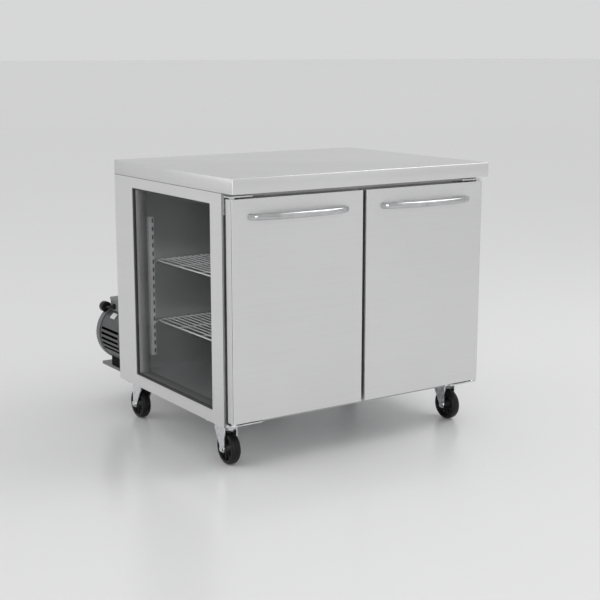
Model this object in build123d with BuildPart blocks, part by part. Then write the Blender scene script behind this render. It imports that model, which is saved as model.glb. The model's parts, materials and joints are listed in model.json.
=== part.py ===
from build123d import *
import os
from math import cos, radians, sin

os.makedirs("parts", exist_ok=True)

# ---------------------------------------------------------------------------
# Driving dimensions, mm.  Positions in this file are written from the cabinet's
# own corner: x from its left face, y back from the worktop's front edge and z
# up from its underside.  at() moves them into the part frame, whose origin lies
# on the floor under the middle of the overall outline.
# ---------------------------------------------------------------------------
WIDTH = 970.0
DEPTH = 770.0
HEIGHT = 750.0
CASTER_HEIGHT = 135.0
HANDLE_FRONT = -22.0
TRAY_REAR = 1012.0
MID_DEPTH = (HANDLE_FRONT + TRAY_REAR) / 2

SHEET = 1.2
WORKTOP_LIP = 46.0
WORKTOP_SHEET = 1.5
LIP_Z = HEIGHT - WORKTOP_LIP
PANEL_FRONT = 62.0
PANEL_TOP = LIP_Z - 2.0

FRAME_FACE = 57.5
FRAME_BACK = 75.0
BAY_OPENINGS = ((50.0, 448.0), (522.0, 920.0))
BAY_OPENING_Z = (46.0, 660.0)

ROOM_X = (50.0, 920.0)
ROOM_Y = (FRAME_BACK, 700.0)
ROOM_Z = (38.0, 690.0)
LINER_SHEET = 1.0
WINDOW_Y = (130.0, 641.0)
WINDOW_Z = (40.0, 668.0)

DOOR_X = ((7.0, 480.0), (490.0, 963.0))
DOOR_Y = (20.0, 50.0)
DOOR_Z = (18.6, 688.0)
DOOR_SHEET = 1.0
DOOR_CORNER = 5.0
GASKET_INSET = 12.0
GASKET_WIDTH = 14.0
GASKET_REAR = 57.2

PIN_INSET = 12.0
PIN_Y = 34.0
PIN_RADIUS = 4.0
PIN_CLEARANCE = 0.05
PIN_DEPTH = 13.0
BOSS_RADIUS = 9.0

HANDLE_HALF = 179.5
HANDLE_Z = 635.0
HANDLE_TUBE = (6.0, 8.0)

SHELF_TOPS = {"lower": 211.0, "upper": 418.0}
SHELF_X = {"left": (104.0, 470.0), "right": (500.0, 866.0)}
SHELF_Y = (89.0, 687.0)
SHELF_FRAME_WIRE = 3.0
SHELF_WIRE = 2.0
SHELF_WIRE_COUNT = 16
WELD_DEPTH = 2.0

WHEEL_RADIUS = 51.0
WHEEL_WIDTH = 32.0
AXLE_RADIUS = 6.0
SWIVEL_OFFSET = 28.0
KINGPIN_RADIUS = 8.0
AXLE_Z = WHEEL_RADIUS - CASTER_HEIGHT
CASTERS = {
    "front_left": (50.0, 148.0, -1),
    "front_right": (920.0, 148.0, -1),
    "rear_left": (50.0, 689.0, 1),
    "rear_right": (920.0, 689.0, 1),
}

EVAP_X = (310.0, 660.0)
EVAP_Y = (440.0, 695.0)
EVAP_Z = (612.0, 689.5)
EVAP_FAN = (485.0, 530.0)
EVAP_FAN_HOLE = 78.0

DISCHARGE_PIPE = 4.0
LIQUID_PIPE = 3.0
SUCTION_PIPE = 4.5
DRAIN_TUBE = 5.7
PIPE_HOLE_GAP = 0.3
LIQUID_AT = (600.0, 634.0)
SUCTION_AT = (570.0, 670.0)
DRAIN_AT = (640.0, 622.0)

TRAY_X = (46.0, 700.0)
TRAY_TOP = 3.0
TRAY_SHEET = 2.5

BARREL = (112.0, 121.0)
BARREL_RADIUS = 104.0
BARREL_Y = (790.0, 945.0)
COWL_REAR = 992.0

CONDENSER_X = (290.0, 590.0)
CONDENSER_Z = (8.0, 238.0)
CONDENSER_COIL_Y = (790.0, 850.0)
CONDENSER_FAN = (440.0, 123.0)
SHROUD_Y = (851.0, 900.0)


def at(x, y, z):
    return Vector(x - WIDTH / 2, y - MID_DEPTH, z + CASTER_HEIGHT)


def block(x, y, z, mode=Mode.ADD):
    """Box between low and high x, y and z."""
    with Locations(at(sum(x) / 2, sum(y) / 2, sum(z) / 2)):
        Box(x[1] - x[0], y[1] - y[0], z[1] - z[0], mode=mode)


def rod(start, end, radius, mode=Mode.ADD):
    """Round bar between two points."""
    first, last = at(*start), at(*end)
    with Locations(Plane(origin=(first + last) / 2, z_dir=last - first).location):
        Cylinder(radius, (last - first).length, mode=mode)


def pipe(points, radius, bend):
    """Round bar along straight runs joined by bends."""
    with BuildLine() as route:
        FilletPolyline(*[at(*p) for p in points], radius=bend)
    with BuildSketch(Plane(origin=route.line @ 0, z_dir=route.line % 0)) as section:
        Circle(radius)
    sweep(sections=section.sketch, path=route.line)


def grown(span, amount):
    return (span[0] - amount, span[1] + amount)


# ------------------------------------------------------------------ worktop
# Formed steel pan with turned-down lips and a return under the front overhang.
with BuildPart() as worktop:
    block((0, WIDTH), (0, DEPTH), (LIP_Z, HEIGHT))
    outer_edges = worktop.edges().filter_by(Axis.Z) + worktop.faces().sort_by(Axis.Z)[-1].edges()
    fillet(outer_edges, 2.0)
    inside = WORKTOP_SHEET
    block(
        (inside, WIDTH - inside),
        (inside, DEPTH - inside),
        (LIP_Z - 1, HEIGHT - inside),
        mode=Mode.SUBTRACT,
    )
    block((inside, WIDTH - inside), (inside, PANEL_FRONT), (LIP_Z, LIP_Z + inside))
worktop.part.label = "worktop"
export_step(worktop.part, "parts/worktop.step")

# --------------------------------------------------------------- insulation
# Foam boards around the food compartment, with a gap of half a millimetre at
# each joint; the left side is four bars around the window.
PIPE_HOLES = (
    (LIQUID_AT[0], LIQUID_AT[1], LIQUID_PIPE + PIPE_HOLE_GAP),
    (SUCTION_AT[0], SUCTION_AT[1], SUCTION_PIPE + PIPE_HOLE_GAP),
    (DRAIN_AT[0], DRAIN_AT[1], DRAIN_TUBE + PIPE_HOLE_GAP),
)
with BuildPart() as insulation:
    foam_y = (76.0, 768.3)
    foam_z = (1.7, 691.2)
    block((2.0, WIDTH - 2.0), (64.0, 768.3), (LIP_Z, HEIGHT - WORKTOP_SHEET - 0.2))
    block((1.7, WIDTH - 1.7), foam_y, (691.7, PANEL_TOP + 1.5))
    block((921.5, WIDTH - 1.7), foam_y, foam_z)
    block((1.7, 48.5), (foam_y[0], WINDOW_Y[0] - 0.5), foam_z)
    block((1.7, 48.5), (WINDOW_Y[1] + 0.5, foam_y[1]), foam_z)
    block((1.7, 48.5), WINDOW_Y, (WINDOW_Z[1] + 0.5, foam_z[1]))
    block((1.7, 48.5), WINDOW_Y, (foam_z[0], WINDOW_Z[0] - 0.5))
    block((49.0, 921.0), (701.5, 768.3), foam_z)
    block((49.0, 921.0), (foam_y[0], 701.0), (foam_z[0], ROOM_Z[0] - 1.5))
    for hole_x, hole_z, hole_r in PIPE_HOLES:
        rod((hole_x, 695, hole_z), (hole_x, 775, hole_z), hole_r, mode=Mode.SUBTRACT)
insulation.part.label = "insulation"
export_step(insulation.part, "parts/insulation.step")

# ------------------------------------------------------------- outer panels
with BuildPart() as side_panel_left:
    block((0, SHEET), (PANEL_FRONT, DEPTH), (0, PANEL_TOP))
    block((-1, SHEET + 1), WINDOW_Y, WINDOW_Z, mode=Mode.SUBTRACT)
side_panel_left.part.label = "side_panel_left"
export_step(side_panel_left.part, "parts/side_panel_left.step")

with BuildPart() as side_panel_right:
    block((WIDTH - SHEET, WIDTH), (PANEL_FRONT, DEPTH), (0, PANEL_TOP))
side_panel_right.part.label = "side_panel_right"
export_step(side_panel_right.part, "parts/side_panel_right.step")

with BuildPart() as back_panel:
    block((SHEET, WIDTH - SHEET), (DEPTH - SHEET, DEPTH), (0, PANEL_TOP))
    for hole_x, hole_z, hole_r in PIPE_HOLES:
        rod((hole_x, 760, hole_z), (hole_x, 775, hole_z), hole_r, mode=Mode.SUBTRACT)
back_panel.part.label = "back_panel"
export_step(back_panel.part, "parts/back_panel.step")

# Caster bolt positions on each mounting plate, from the swivel's centre.
BOLT_X, BOLT_Y, BOLT_RADIUS = 35.0, 38.0, 4.0
bolt_places = [
    (x + sx * BOLT_X, y + sy * BOLT_Y)
    for x, y, trail in CASTERS.values()
    for sx in (-1, 1)
    for sy in (-1, 1)
]

with BuildPart() as base_panel:
    block((SHEET, WIDTH - SHEET), (PANEL_FRONT, DEPTH - SHEET), (0, SHEET))
    for x, y in bolt_places:
        rod((x, y, -1), (x, y, 3), BOLT_RADIUS, mode=Mode.SUBTRACT)
base_panel.part.label = "base_panel"
export_step(base_panel.part, "parts/base_panel.step")

# -------------------------------------------------------------------- liner
# One food-safe inner box, open to the doors, with the window's opening cut in
# its left wall and the pipe holes in its back wall.
with BuildPart() as liner:
    block(
        grown(ROOM_X, LINER_SHEET),
        (ROOM_Y[0], ROOM_Y[1] + LINER_SHEET),
        grown(ROOM_Z, LINER_SHEET),
    )
    block(ROOM_X, (ROOM_Y[0] - 1, ROOM_Y[1]), ROOM_Z, mode=Mode.SUBTRACT)
    block((ROOM_X[0] - 5, ROOM_X[0] + 5), WINDOW_Y, WINDOW_Z, mode=Mode.SUBTRACT)
    for hole_x, hole_z, hole_r in PIPE_HOLES:
        rod((hole_x, 695, hole_z), (hole_x, 705, hole_z), hole_r, mode=Mode.SUBTRACT)
liner.part.label = "liner"
export_step(liner.part, "parts/liner.step")

# -------------------------------------------------------------- front frame
# Breaker frame the gaskets close on: a flat face with returns round its outline
# and round both door openings, and a mullion between them.
with BuildPart() as front_frame:
    frame_x = (SHEET + 0.1, WIDTH - SHEET - 0.1)
    frame_z = (SHEET + 0.2, PANEL_TOP - 0.2)
    block(frame_x, (FRAME_FACE, FRAME_BACK), frame_z)
    block(
        grown(frame_x, -SHEET),
        (FRAME_FACE + SHEET, FRAME_BACK + 1),
        grown(frame_z, -SHEET),
        mode=Mode.SUBTRACT,
    )
    for opening in BAY_OPENINGS:
        block(grown(opening, SHEET), (FRAME_FACE, FRAME_BACK), grown(BAY_OPENING_Z, SHEET))
    for opening in BAY_OPENINGS:
        block(opening, (FRAME_FACE - 1, FRAME_BACK + 1), BAY_OPENING_Z, mode=Mode.SUBTRACT)
front_frame.part.label = "front_frame"
export_step(front_frame.part, "parts/front_frame.step")

# ------------------------------------------------------------------- window
PANE_X = ((5.0, 9.0), (31.0, 35.0))
PANE_INSET = 2.5
SEAL_WIDTH = 6.0
pane_y = grown(WINDOW_Y, -PANE_INSET)
pane_z = grown(WINDOW_Z, -PANE_INSET)

with BuildPart() as window_glass:
    for pane_x in PANE_X:
        block(pane_x, pane_y, pane_z)
window_glass.part.label = "window_glass"
export_step(window_glass.part, "parts/window_glass.step")

with BuildPart() as window_seal:
    block((1.8, 48.5), WINDOW_Y, WINDOW_Z)
    block((0, 50), grown(WINDOW_Y, -SEAL_WIDTH), grown(WINDOW_Z, -SEAL_WIDTH), mode=Mode.SUBTRACT)
    for pane_x in PANE_X:
        block(pane_x, pane_y, pane_z, mode=Mode.SUBTRACT)
window_seal.part.label = "window_seal"
export_step(window_seal.part, "parts/window_seal.step")

# ---------------------------------------------------------------- pilasters
# Slotted uprights: three on the back wall, one on each side wall at the front
# and one behind the mullion.
PILASTER_Z = (84.0, 557.0)
PILASTER_WIDTH = 18.0
PILASTER_DEPTH = 8.0
SLOT_PITCH = 28.0
SLOT_COUNT = 16
rear_pilasters = (84.0, 476.0, 868.0)
with BuildPart() as pilasters:
    slot_z = [PILASTER_Z[0] + 26 + SLOT_PITCH * i for i in range(SLOT_COUNT)]
    for x in rear_pilasters:
        block((x, x + PILASTER_WIDTH), (ROOM_Y[1] - PILASTER_DEPTH, ROOM_Y[1]), PILASTER_Z)
    mullion_x = (476.0, 476.0 + PILASTER_WIDTH)
    block(mullion_x, (FRAME_BACK, FRAME_BACK + PILASTER_DEPTH), PILASTER_Z)
    block((ROOM_X[0], ROOM_X[0] + PILASTER_DEPTH), (94, 94 + PILASTER_WIDTH), PILASTER_Z)
    block((ROOM_X[1] - PILASTER_DEPTH, ROOM_X[1]), (94, 94 + PILASTER_WIDTH), PILASTER_Z)
    for z in slot_z:
        slot = (z, z + 12)
        for x in rear_pilasters:
            for edge in (x, x + PILASTER_WIDTH):
                block((edge - 2, edge + 2), (ROOM_Y[1] - 6, ROOM_Y[1] - 2), slot, mode=Mode.SUBTRACT)
        for edge in mullion_x:
            block((edge - 2, edge + 2), (FRAME_BACK + 2, FRAME_BACK + 6), slot, mode=Mode.SUBTRACT)
        for face in (ROOM_X[0] + PILASTER_DEPTH, ROOM_X[1] - PILASTER_DEPTH):
            block((face - 2, face + 2), (101, 105), slot, mode=Mode.SUBTRACT)
pilasters.part.label = "pilasters"
export_step(pilasters.part, "parts/pilasters.step")

# -------------------------------------------------------------- shelf clips
# Tongues that hook into the uprights and carry the shelf corners.
CLIP_THICKNESS = 4.0
REST_GAP = 0.1
with BuildPart() as shelf_clips:
    for top in SHELF_TOPS.values():
        seat = top - 2 * SHELF_WIRE - 2 * SHELF_FRAME_WIRE + WELD_DEPTH - REST_GAP
        clip_z = (seat - CLIP_THICKNESS, seat)
        for tongue in ((102, 116), (462, 476), (494, 508), (854, 868)):
            block(tongue, (674, 698), clip_z)
        for tongue in ((462, 476), (494, 508)):
            block(tongue, (77, 104), clip_z)
        for tongue in ((58, 116), (854, 912)):
            block(tongue, (96, 110), clip_z)
shelf_clips.part.label = "shelf_clips"
export_step(shelf_clips.part, "parts/shelf_clips.step")

# ------------------------------------------------------------------ shelves
# Round wires running front to back, welded on a wire frame; four alike.
with BuildPart() as wire_shelf:
    low_x, high_x = SHELF_X["left"]
    top = SHELF_TOPS["lower"]
    frame_wire_z = top - SHELF_WIRE * 2 - SHELF_FRAME_WIRE + WELD_DEPTH
    wire_z = top - SHELF_WIRE
    side_wires = (low_x + SHELF_FRAME_WIRE, high_x - SHELF_FRAME_WIRE)
    end_wires = (SHELF_Y[0] + SHELF_FRAME_WIRE, SHELF_Y[1] - SHELF_FRAME_WIRE)
    pitch = (side_wires[1] - side_wires[0]) / (SHELF_WIRE_COUNT + 1)
    for x in side_wires:
        rod((x, end_wires[0], frame_wire_z), (x, end_wires[1], frame_wire_z), SHELF_FRAME_WIRE)
    for y in (*end_wires, 240.0, 388.0, 536.0):
        rod((side_wires[0], y, frame_wire_z), (side_wires[1], y, frame_wire_z), SHELF_FRAME_WIRE)
    for x in side_wires:
        for y in end_wires:
            with Locations(at(x, y, frame_wire_z)):
                Sphere(SHELF_FRAME_WIRE)
    for i in range(1, SHELF_WIRE_COUNT + 1):
        x = side_wires[0] + pitch * i
        rod((x, SHELF_Y[0], wire_z), (x, SHELF_Y[1], wire_z), SHELF_WIRE)

for side, shelf_x in SHELF_X.items():
    for level, top in SHELF_TOPS.items():
        shift = (shelf_x[0] - SHELF_X["left"][0], 0, top - SHELF_TOPS["lower"])
        with BuildPart() as shelf:
            with Locations(shift):
                add(wire_shelf.part)
        shelf.part.label = f"shelf_{side}_{level}"
        export_step(shelf.part, f"parts/shelf_{side}_{level}.step")

# -------------------------------------------------------------------- doors
# Each door is a formed steel skin with a hinge boss at each end, a foam core, an
# inner panel, a magnetic gasket and a bow handle.
for side, door_x in zip(("left", "right"), DOOR_X):
    pin_x = door_x[0] + PIN_INSET if side == "left" else door_x[1] - PIN_INSET
    inner_x = grown(door_x, -DOOR_SHEET)
    inner_z = grown(DOOR_Z, -DOOR_SHEET)
    boss_z = ((DOOR_Z[0], DOOR_Z[0] + PIN_DEPTH + 2), (DOOR_Z[1] - PIN_DEPTH - 2, DOOR_Z[1]))
    hole_z = ((DOOR_Z[0] - 1, DOOR_Z[0] + PIN_DEPTH), (DOOR_Z[1] - PIN_DEPTH, DOOR_Z[1] + 1))

    with BuildPart() as door_skin:
        block(door_x, DOOR_Y, DOOR_Z)
        front_edges = door_skin.edges().filter_by(Axis.Z).sort_by(Axis.Y)[:2]
        fillet(front_edges, DOOR_CORNER)
        block(inner_x, (DOOR_Y[0] + DOOR_SHEET, DOOR_Y[1] + 1), inner_z, mode=Mode.SUBTRACT)
        for low, high in boss_z:
            rod((pin_x, PIN_Y, low), (pin_x, PIN_Y, high), BOSS_RADIUS)
        for low, high in hole_z:
            rod((pin_x, PIN_Y, low), (pin_x, PIN_Y, high), PIN_RADIUS + PIN_CLEARANCE, mode=Mode.SUBTRACT)
    door_skin.part.label = f"door_{side}_skin"
    export_step(door_skin.part, f"parts/door_{side}_skin.step")

    with BuildPart() as door_core:
        core_y = (DOOR_Y[0] + DOOR_SHEET + 0.2, DOOR_Y[1] - DOOR_SHEET - 0.2)
        block(grown(inner_x, -4.2), core_y, grown(inner_z, -0.2))
        for low, high in boss_z:
            rod((pin_x, PIN_Y, low - 1), (pin_x, PIN_Y, high + 1), BOSS_RADIUS + 0.5, mode=Mode.SUBTRACT)
    door_core.part.label = f"door_{side}_core"
    export_step(door_core.part, f"parts/door_{side}_core.step")

    with BuildPart() as door_inner:
        block(grown(inner_x, -0.1), (DOOR_Y[1] - DOOR_SHEET, DOOR_Y[1]), grown(inner_z, -0.1))
    door_inner.part.label = f"door_{side}_inner"
    export_step(door_inner.part, f"parts/door_{side}_inner.step")

    with BuildPart() as door_gasket:
        gasket_x = grown(door_x, -GASKET_INSET)
        gasket_z = grown(DOOR_Z, -GASKET_INSET)
        block(gasket_x, (DOOR_Y[1], GASKET_REAR), gasket_z)
        block(
            grown(gasket_x, -GASKET_WIDTH),
            (DOOR_Y[1] - 1, GASKET_REAR + 1),
            grown(gasket_z, -GASKET_WIDTH),
            mode=Mode.SUBTRACT,
        )
    door_gasket.part.label = f"door_{side}_gasket"
    export_step(door_gasket.part, f"parts/door_{side}_gasket.step")

    with BuildPart() as door_handle:
        middle = sum(door_x) / 2
        tube_front = HANDLE_FRONT + HANDLE_TUBE[0]
        with BuildLine() as bow:
            left = at(middle - HANDLE_HALF + 8, DOOR_Y[0] + 1, HANDLE_Z)
            right = at(middle + HANDLE_HALF - 8, DOOR_Y[0] + 1, HANDLE_Z)
            front = at(middle, tube_front, HANDLE_Z)
            Spline(left, front, tangents=((0.55, -1, 0), (1, 0, 0)))
            Spline(front, right, tangents=((1, 0, 0), (0.55, 1, 0)))
        with BuildSketch(Plane(origin=bow.line @ 0, x_dir=(0, 0, 1), z_dir=bow.line % 0)):
            Ellipse(HANDLE_TUBE[1], HANDLE_TUBE[0])
        sweep(path=bow.line)
        for end in (-1, 1):
            x = middle + end * (HANDLE_HALF - 10)
            rod((x, DOOR_Y[0] - 4, HANDLE_Z), (x, DOOR_Y[0], HANDLE_Z), 10)
        block(grown(door_x, -10), (DOOR_Y[0], DOOR_Y[0] + 30), (600, 670), mode=Mode.SUBTRACT)
    door_handle.part.label = f"door_{side}_handle"
    export_step(door_handle.part, f"parts/door_{side}_handle.step")

# ------------------------------------------------------------------- hinges
# Plates screwed to the front frame; each carries a pin that the door turns on.
PLATE_Y = (24.0, FRAME_FACE - 0.1)
LEG_THICKNESS = 3.0
with BuildPart() as hinge_brackets:
    for edge, inward in ((0.0, 1), (WIDTH, -1)):
        top_x = sorted((edge + inward * 4, edge + inward * 88))
        bottom_x = sorted((edge + inward * 4, edge + inward * 118))
        leg_x = sorted((edge + inward * 4, edge + inward * 18))
        pin_x = edge + inward * (DOOR_X[0][0] + PIN_INSET)
        leg_y = (PLATE_Y[1] - LEG_THICKNESS, PLATE_Y[1])
        block(top_x, PLATE_Y, (693, 697))
        block(leg_x, leg_y, (640, 695))
        rod((pin_x, PIN_Y, DOOR_Z[1] - PIN_DEPTH + 1.5), (pin_x, PIN_Y, 695), PIN_RADIUS)
        rod((pin_x, PIN_Y, DOOR_Z[1] + 0.3), (pin_x, PIN_Y, 695), BOSS_RADIUS)
        block(bottom_x, PLATE_Y, (10, 14))
        block(bottom_x, leg_y, (2, 12))
        rod((pin_x, PIN_Y, 12), (pin_x, PIN_Y, DOOR_Z[0] + PIN_DEPTH - 1.5), PIN_RADIUS)
        rod((pin_x, PIN_Y, 12), (pin_x, PIN_Y, DOOR_Z[0] - 0.3), BOSS_RADIUS)
    corners = hinge_brackets.edges().filter_by(Axis.Z).group_by(Axis.Y)[0]
    fillet(corners, 9.0)
hinge_brackets.part.label = "hinge_brackets"
export_step(hinge_brackets.part, "parts/hinge_brackets.step")

# --------------------------------------------------------------- evaporator
# Low unit cooler hung from the ceiling: fan in the base, coil behind it.
with BuildPart() as evaporator_cover:
    block(EVAP_X, EVAP_Y, EVAP_Z)
    block(
        grown(EVAP_X, -SHEET),
        grown(EVAP_Y, -SHEET),
        (EVAP_Z[0] + SHEET, EVAP_Z[1] + 1),
        mode=Mode.SUBTRACT,
    )
    rod((*EVAP_FAN, EVAP_Z[0] - 1), (*EVAP_FAN, EVAP_Z[0] + 5), EVAP_FAN_HOLE, mode=Mode.SUBTRACT)
    for i in range(14):
        x = EVAP_X[0] + 22 + i * 23
        block((x, x + 8), (EVAP_Y[0] - 2, EVAP_Y[0] + 3), (628, 678), mode=Mode.SUBTRACT)
    for hole_x, hole_z, hole_r in PIPE_HOLES:
        rod((hole_x, 690, hole_z), (hole_x, 700, hole_z), hole_r, mode=Mode.SUBTRACT)
evaporator_cover.part.label = "evaporator_cover"
export_step(evaporator_cover.part, "parts/evaporator_cover.step")

COIL_ENDS = (324.0, 632.0)
COIL_ROWS = (634.0, 652.0, 670.0)
COIL_COLUMNS = (634.0, 660.0)
COIL_TUBE = 4.5
with BuildPart() as evaporator_coil:
    for i in range(25):
        x = 332 + i * 12
        block((x, x + 1), (622, 674), (626, 684))
    for y in COIL_COLUMNS:
        for z in COIL_ROWS:
            rod((COIL_ENDS[0], y, z), (COIL_ENDS[1], y, z), COIL_TUBE)
            for x in COIL_ENDS:
                with Locations(at(x, y, z)):
                    Sphere(COIL_TUBE)
    for z in COIL_ROWS:
        rod((COIL_ENDS[0], COIL_COLUMNS[0], z), (COIL_ENDS[0], COIL_COLUMNS[1], z), COIL_TUBE)
    rod((COIL_ENDS[1], 634, 652), (COIL_ENDS[1], 634, 670), COIL_TUBE)
    rod((COIL_ENDS[1], 660, 634), (COIL_ENDS[1], 660, 652), COIL_TUBE)
evaporator_coil.part.label = "evaporator_coil"
export_step(evaporator_coil.part, "parts/evaporator_coil.step")

with BuildPart() as evaporator_motor:
    rod((*EVAP_FAN, 652), (*EVAP_FAN, 684), 30)
    for angle in (30, 150, 270):
        reach = (EVAP_FAN[0] + 88 * cos(radians(angle)), EVAP_FAN[1] + 88 * sin(radians(angle)))
        rod((*EVAP_FAN, 676), (*reach, 676), 3)
    rod((*EVAP_FAN, 622), (*EVAP_FAN, 655), 3)
evaporator_motor.part.label = "evaporator_motor"
export_step(evaporator_motor.part, "parts/evaporator_motor.step")


def fan_blades(radius, hub_radius, thickness, chord, pitch_angle, count):
    """Pitched flat blades around the local Z axis."""
    length = radius - hub_radius + 3
    for i in range(count):
        turn = Rot(0, 0, 360 / count * i)
        with Locations(turn * Pos(hub_radius - 3 + length / 2, 0, 0) * Rot(pitch_angle, 0, 0)):
            Box(length, chord, thickness)


with BuildPart() as evaporator_fan:
    with Locations(at(*EVAP_FAN, 634)):
        fan_blades(72, 15, 1.6, 38, 26, 5)
    rod((*EVAP_FAN, 622), (*EVAP_FAN, 646), 15)
    rod((*EVAP_FAN, 620), (*EVAP_FAN, 650), 3.05, mode=Mode.SUBTRACT)
evaporator_fan.part.label = "evaporator_fan"
export_step(evaporator_fan.part, "parts/evaporator_fan.step")

# --------------------------------------------------------------------- tray
# Steel shelf behind the cabinet that carries the condensing unit.
with BuildPart() as rear_tray:
    tray_y = (DEPTH, TRAY_REAR)
    block(TRAY_X, tray_y, (TRAY_TOP - 10, TRAY_TOP))
    block(
        grown(TRAY_X, -TRAY_SHEET),
        (tray_y[0] + TRAY_SHEET, tray_y[1] - TRAY_SHEET),
        (TRAY_TOP - 11, TRAY_TOP - TRAY_SHEET),
        mode=Mode.SUBTRACT,
    )
    block(TRAY_X, (DEPTH, DEPTH + TRAY_SHEET), (TRAY_TOP - 5, 60))
rear_tray.part.label = "rear_tray"
export_step(rear_tray.part, "parts/rear_tray.step")

with BuildPart() as condensate_pan:
    pan_x, pan_y, pan_z = (608, 692), (778, 868), (TRAY_TOP, 24)
    block(pan_x, pan_y, pan_z)
    block(grown(pan_x, -2), grown(pan_y, -2), (TRAY_TOP + 2, 30), mode=Mode.SUBTRACT)
condensate_pan.part.label = "condensate_pan"
export_step(condensate_pan.part, "parts/condensate_pan.step")

with BuildPart() as drain_tube:
    drain_x, drain_z = DRAIN_AT
    pipe([(drain_x, 687, drain_z), (drain_x, 792, drain_z), (drain_x, 792, 12)], DRAIN_TUBE, 16)
drain_tube.part.label = "drain_tube"
export_step(drain_tube.part, "parts/drain_tube.step")

# --------------------------------------------------------------- compressor
# Semi-hermetic motor compressor lying along y: ribbed barrel, rear end cover,
# cylinder head on the right, terminal box on top and two feet.
RIB_SLOTS = (14, 4, -6, -16, -26)
bx, bz = BARREL
with BuildPart() as compressor_body:
    rod((bx, BARREL_Y[0], bz), (bx, BARREL_Y[1], bz), BARREL_RADIUS)
    for angle in RIB_SLOTS:
        for turn in (180 - angle, angle):
            with Locations(
                Location(at(bx, (BARREL_Y[0] + 20 + BARREL_Y[1]) / 2, bz))
                * Rot(0, -turn, 0)
                * Pos(BARREL_RADIUS, 0, 0)
            ):
                Box(18, BARREL_Y[1] - BARREL_Y[0] - 20 + 2, 7, mode=Mode.SUBTRACT)
    block((190, 240), (806, 886), (80, 176))
    rod((bx, BARREL_Y[0] + 12, bz), (bx, BARREL_Y[1] + 1, bz), BARREL_RADIUS - 14, mode=Mode.SUBTRACT)
    rod((226, 846, 170), (226, 846, 200), 10)
    rod((235, 846, 128), (254, 846, 128), 10)
compressor_body.part.label = "compressor_body"
export_step(compressor_body.part, "parts/compressor_body.step")

with BuildPart() as compressor_core:
    rod((bx, 825, bz), (bx, 915, bz), BARREL_RADIUS - 14)
    rod((bx, 804, bz), (bx, 955, bz), 16)
compressor_core.part.label = "compressor_core"
export_step(compressor_core.part, "parts/compressor_core.step")

with BuildPart() as compressor_cowl:
    cowl_length = COWL_REAR - BARREL_Y[1]
    with BuildSketch(Plane(origin=at(bx, BARREL_Y[1], bz), x_dir=(1, 0, 0), z_dir=(0, 0, 1))):
        with BuildLine():
            Line((0, 0), (106, 0))
            Line((106, 0), (106, 16))
            ThreePointArc((106, 16), (97, 37), (74, cowl_length))
            Line((74, cowl_length), (0, cowl_length))
            Line((0, cowl_length), (0, 0))
        make_face()
    revolve(axis=Axis(at(bx, 0, bz), (0, 1, 0)))
    rod((bx, BARREL_Y[1] - 1, bz), (bx, BARREL_Y[1] + 30, bz), 96, mode=Mode.SUBTRACT)
compressor_cowl.part.label = "compressor_cowl"
export_step(compressor_cowl.part, "parts/compressor_cowl.step")

with BuildPart() as terminal_box:
    block((50, 132), (868, 944), (190, 251))
    rod((bx, BARREL_Y[0], bz), (bx, BARREL_Y[1], bz), BARREL_RADIUS, mode=Mode.SUBTRACT)
    box_edges = terminal_box.faces().sort_by(Axis.Z)[-1].edges()
    fillet(box_edges, 2.5)
terminal_box.part.label = "terminal_box"
export_step(terminal_box.part, "parts/terminal_box.step")

with BuildPart() as start_capacitor:
    rod((41, 951, 213), (41, 976, 213), 19)
    rod((bx, 940, bz), (bx, 1000, bz), 106.3, mode=Mode.SUBTRACT)
start_capacitor.part.label = "start_capacitor"
export_step(start_capacitor.part, "parts/start_capacitor.step")

with BuildPart() as compressor_feet:
    for foot in ((52, 88), (136, 172)):
        block(foot, (812, 945), (TRAY_TOP, 46))
    rod((bx, BARREL_Y[0], bz), (bx, BARREL_Y[1] + 1, bz), BARREL_RADIUS, mode=Mode.SUBTRACT)
compressor_feet.part.label = "compressor_feet"
export_step(compressor_feet.part, "parts/compressor_feet.step")

# ---------------------------------------------------------------- condenser
ROW_PITCH = 30.0
ROW_COUNT = 7
FIN_COUNT = 24
coil_ends = grown(CONDENSER_X, 10)
tube_rows = [CONDENSER_Z[1] - 25 - ROW_PITCH * i for i in range(ROW_COUNT)]
passes = [(805.0, z) for z in tube_rows] + [(835.0, z) for z in reversed(tube_rows[1:])]
with BuildPart() as condenser_coil:
    fin_pitch = (CONDENSER_X[1] - CONDENSER_X[0] - 1.5) / (FIN_COUNT - 1)
    for i in range(FIN_COUNT):
        x = CONDENSER_X[0] + i * fin_pitch
        block((x, x + 1.5), CONDENSER_COIL_Y, CONDENSER_Z)
    for y, z in passes:
        rod((coil_ends[0], y, z), (coil_ends[1], y, z), 5)
    for i in range(len(passes) - 1):
        x = coil_ends[1] if i % 2 == 0 else coil_ends[0]
        rod((x, *passes[i]), (x, *passes[i + 1]), 5)
        for y, z in passes[i : i + 2]:
            with Locations(at(x, y, z)):
                Sphere(5)
condenser_coil.part.label = "condenser_coil"
export_step(condenser_coil.part, "parts/condenser_coil.step")

FAN_X, FAN_Z = CONDENSER_FAN
with BuildPart() as condenser_shroud:
    block(CONDENSER_X, SHROUD_Y, CONDENSER_Z)
    block(
        grown(CONDENSER_X, -SHEET),
        (SHROUD_Y[0] - 1, SHROUD_Y[1] - SHEET),
        grown(CONDENSER_Z, -SHEET),
        mode=Mode.SUBTRACT,
    )
    rod((FAN_X, SHROUD_Y[1] - 30, FAN_Z), (FAN_X, SHROUD_Y[1], FAN_Z), 106)
    rod((FAN_X, SHROUD_Y[1] - 40, FAN_Z), (FAN_X, SHROUD_Y[1] + 5, FAN_Z), 104, mode=Mode.SUBTRACT)
condenser_shroud.part.label = "condenser_shroud"
export_step(condenser_shroud.part, "parts/condenser_shroud.step")

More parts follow.
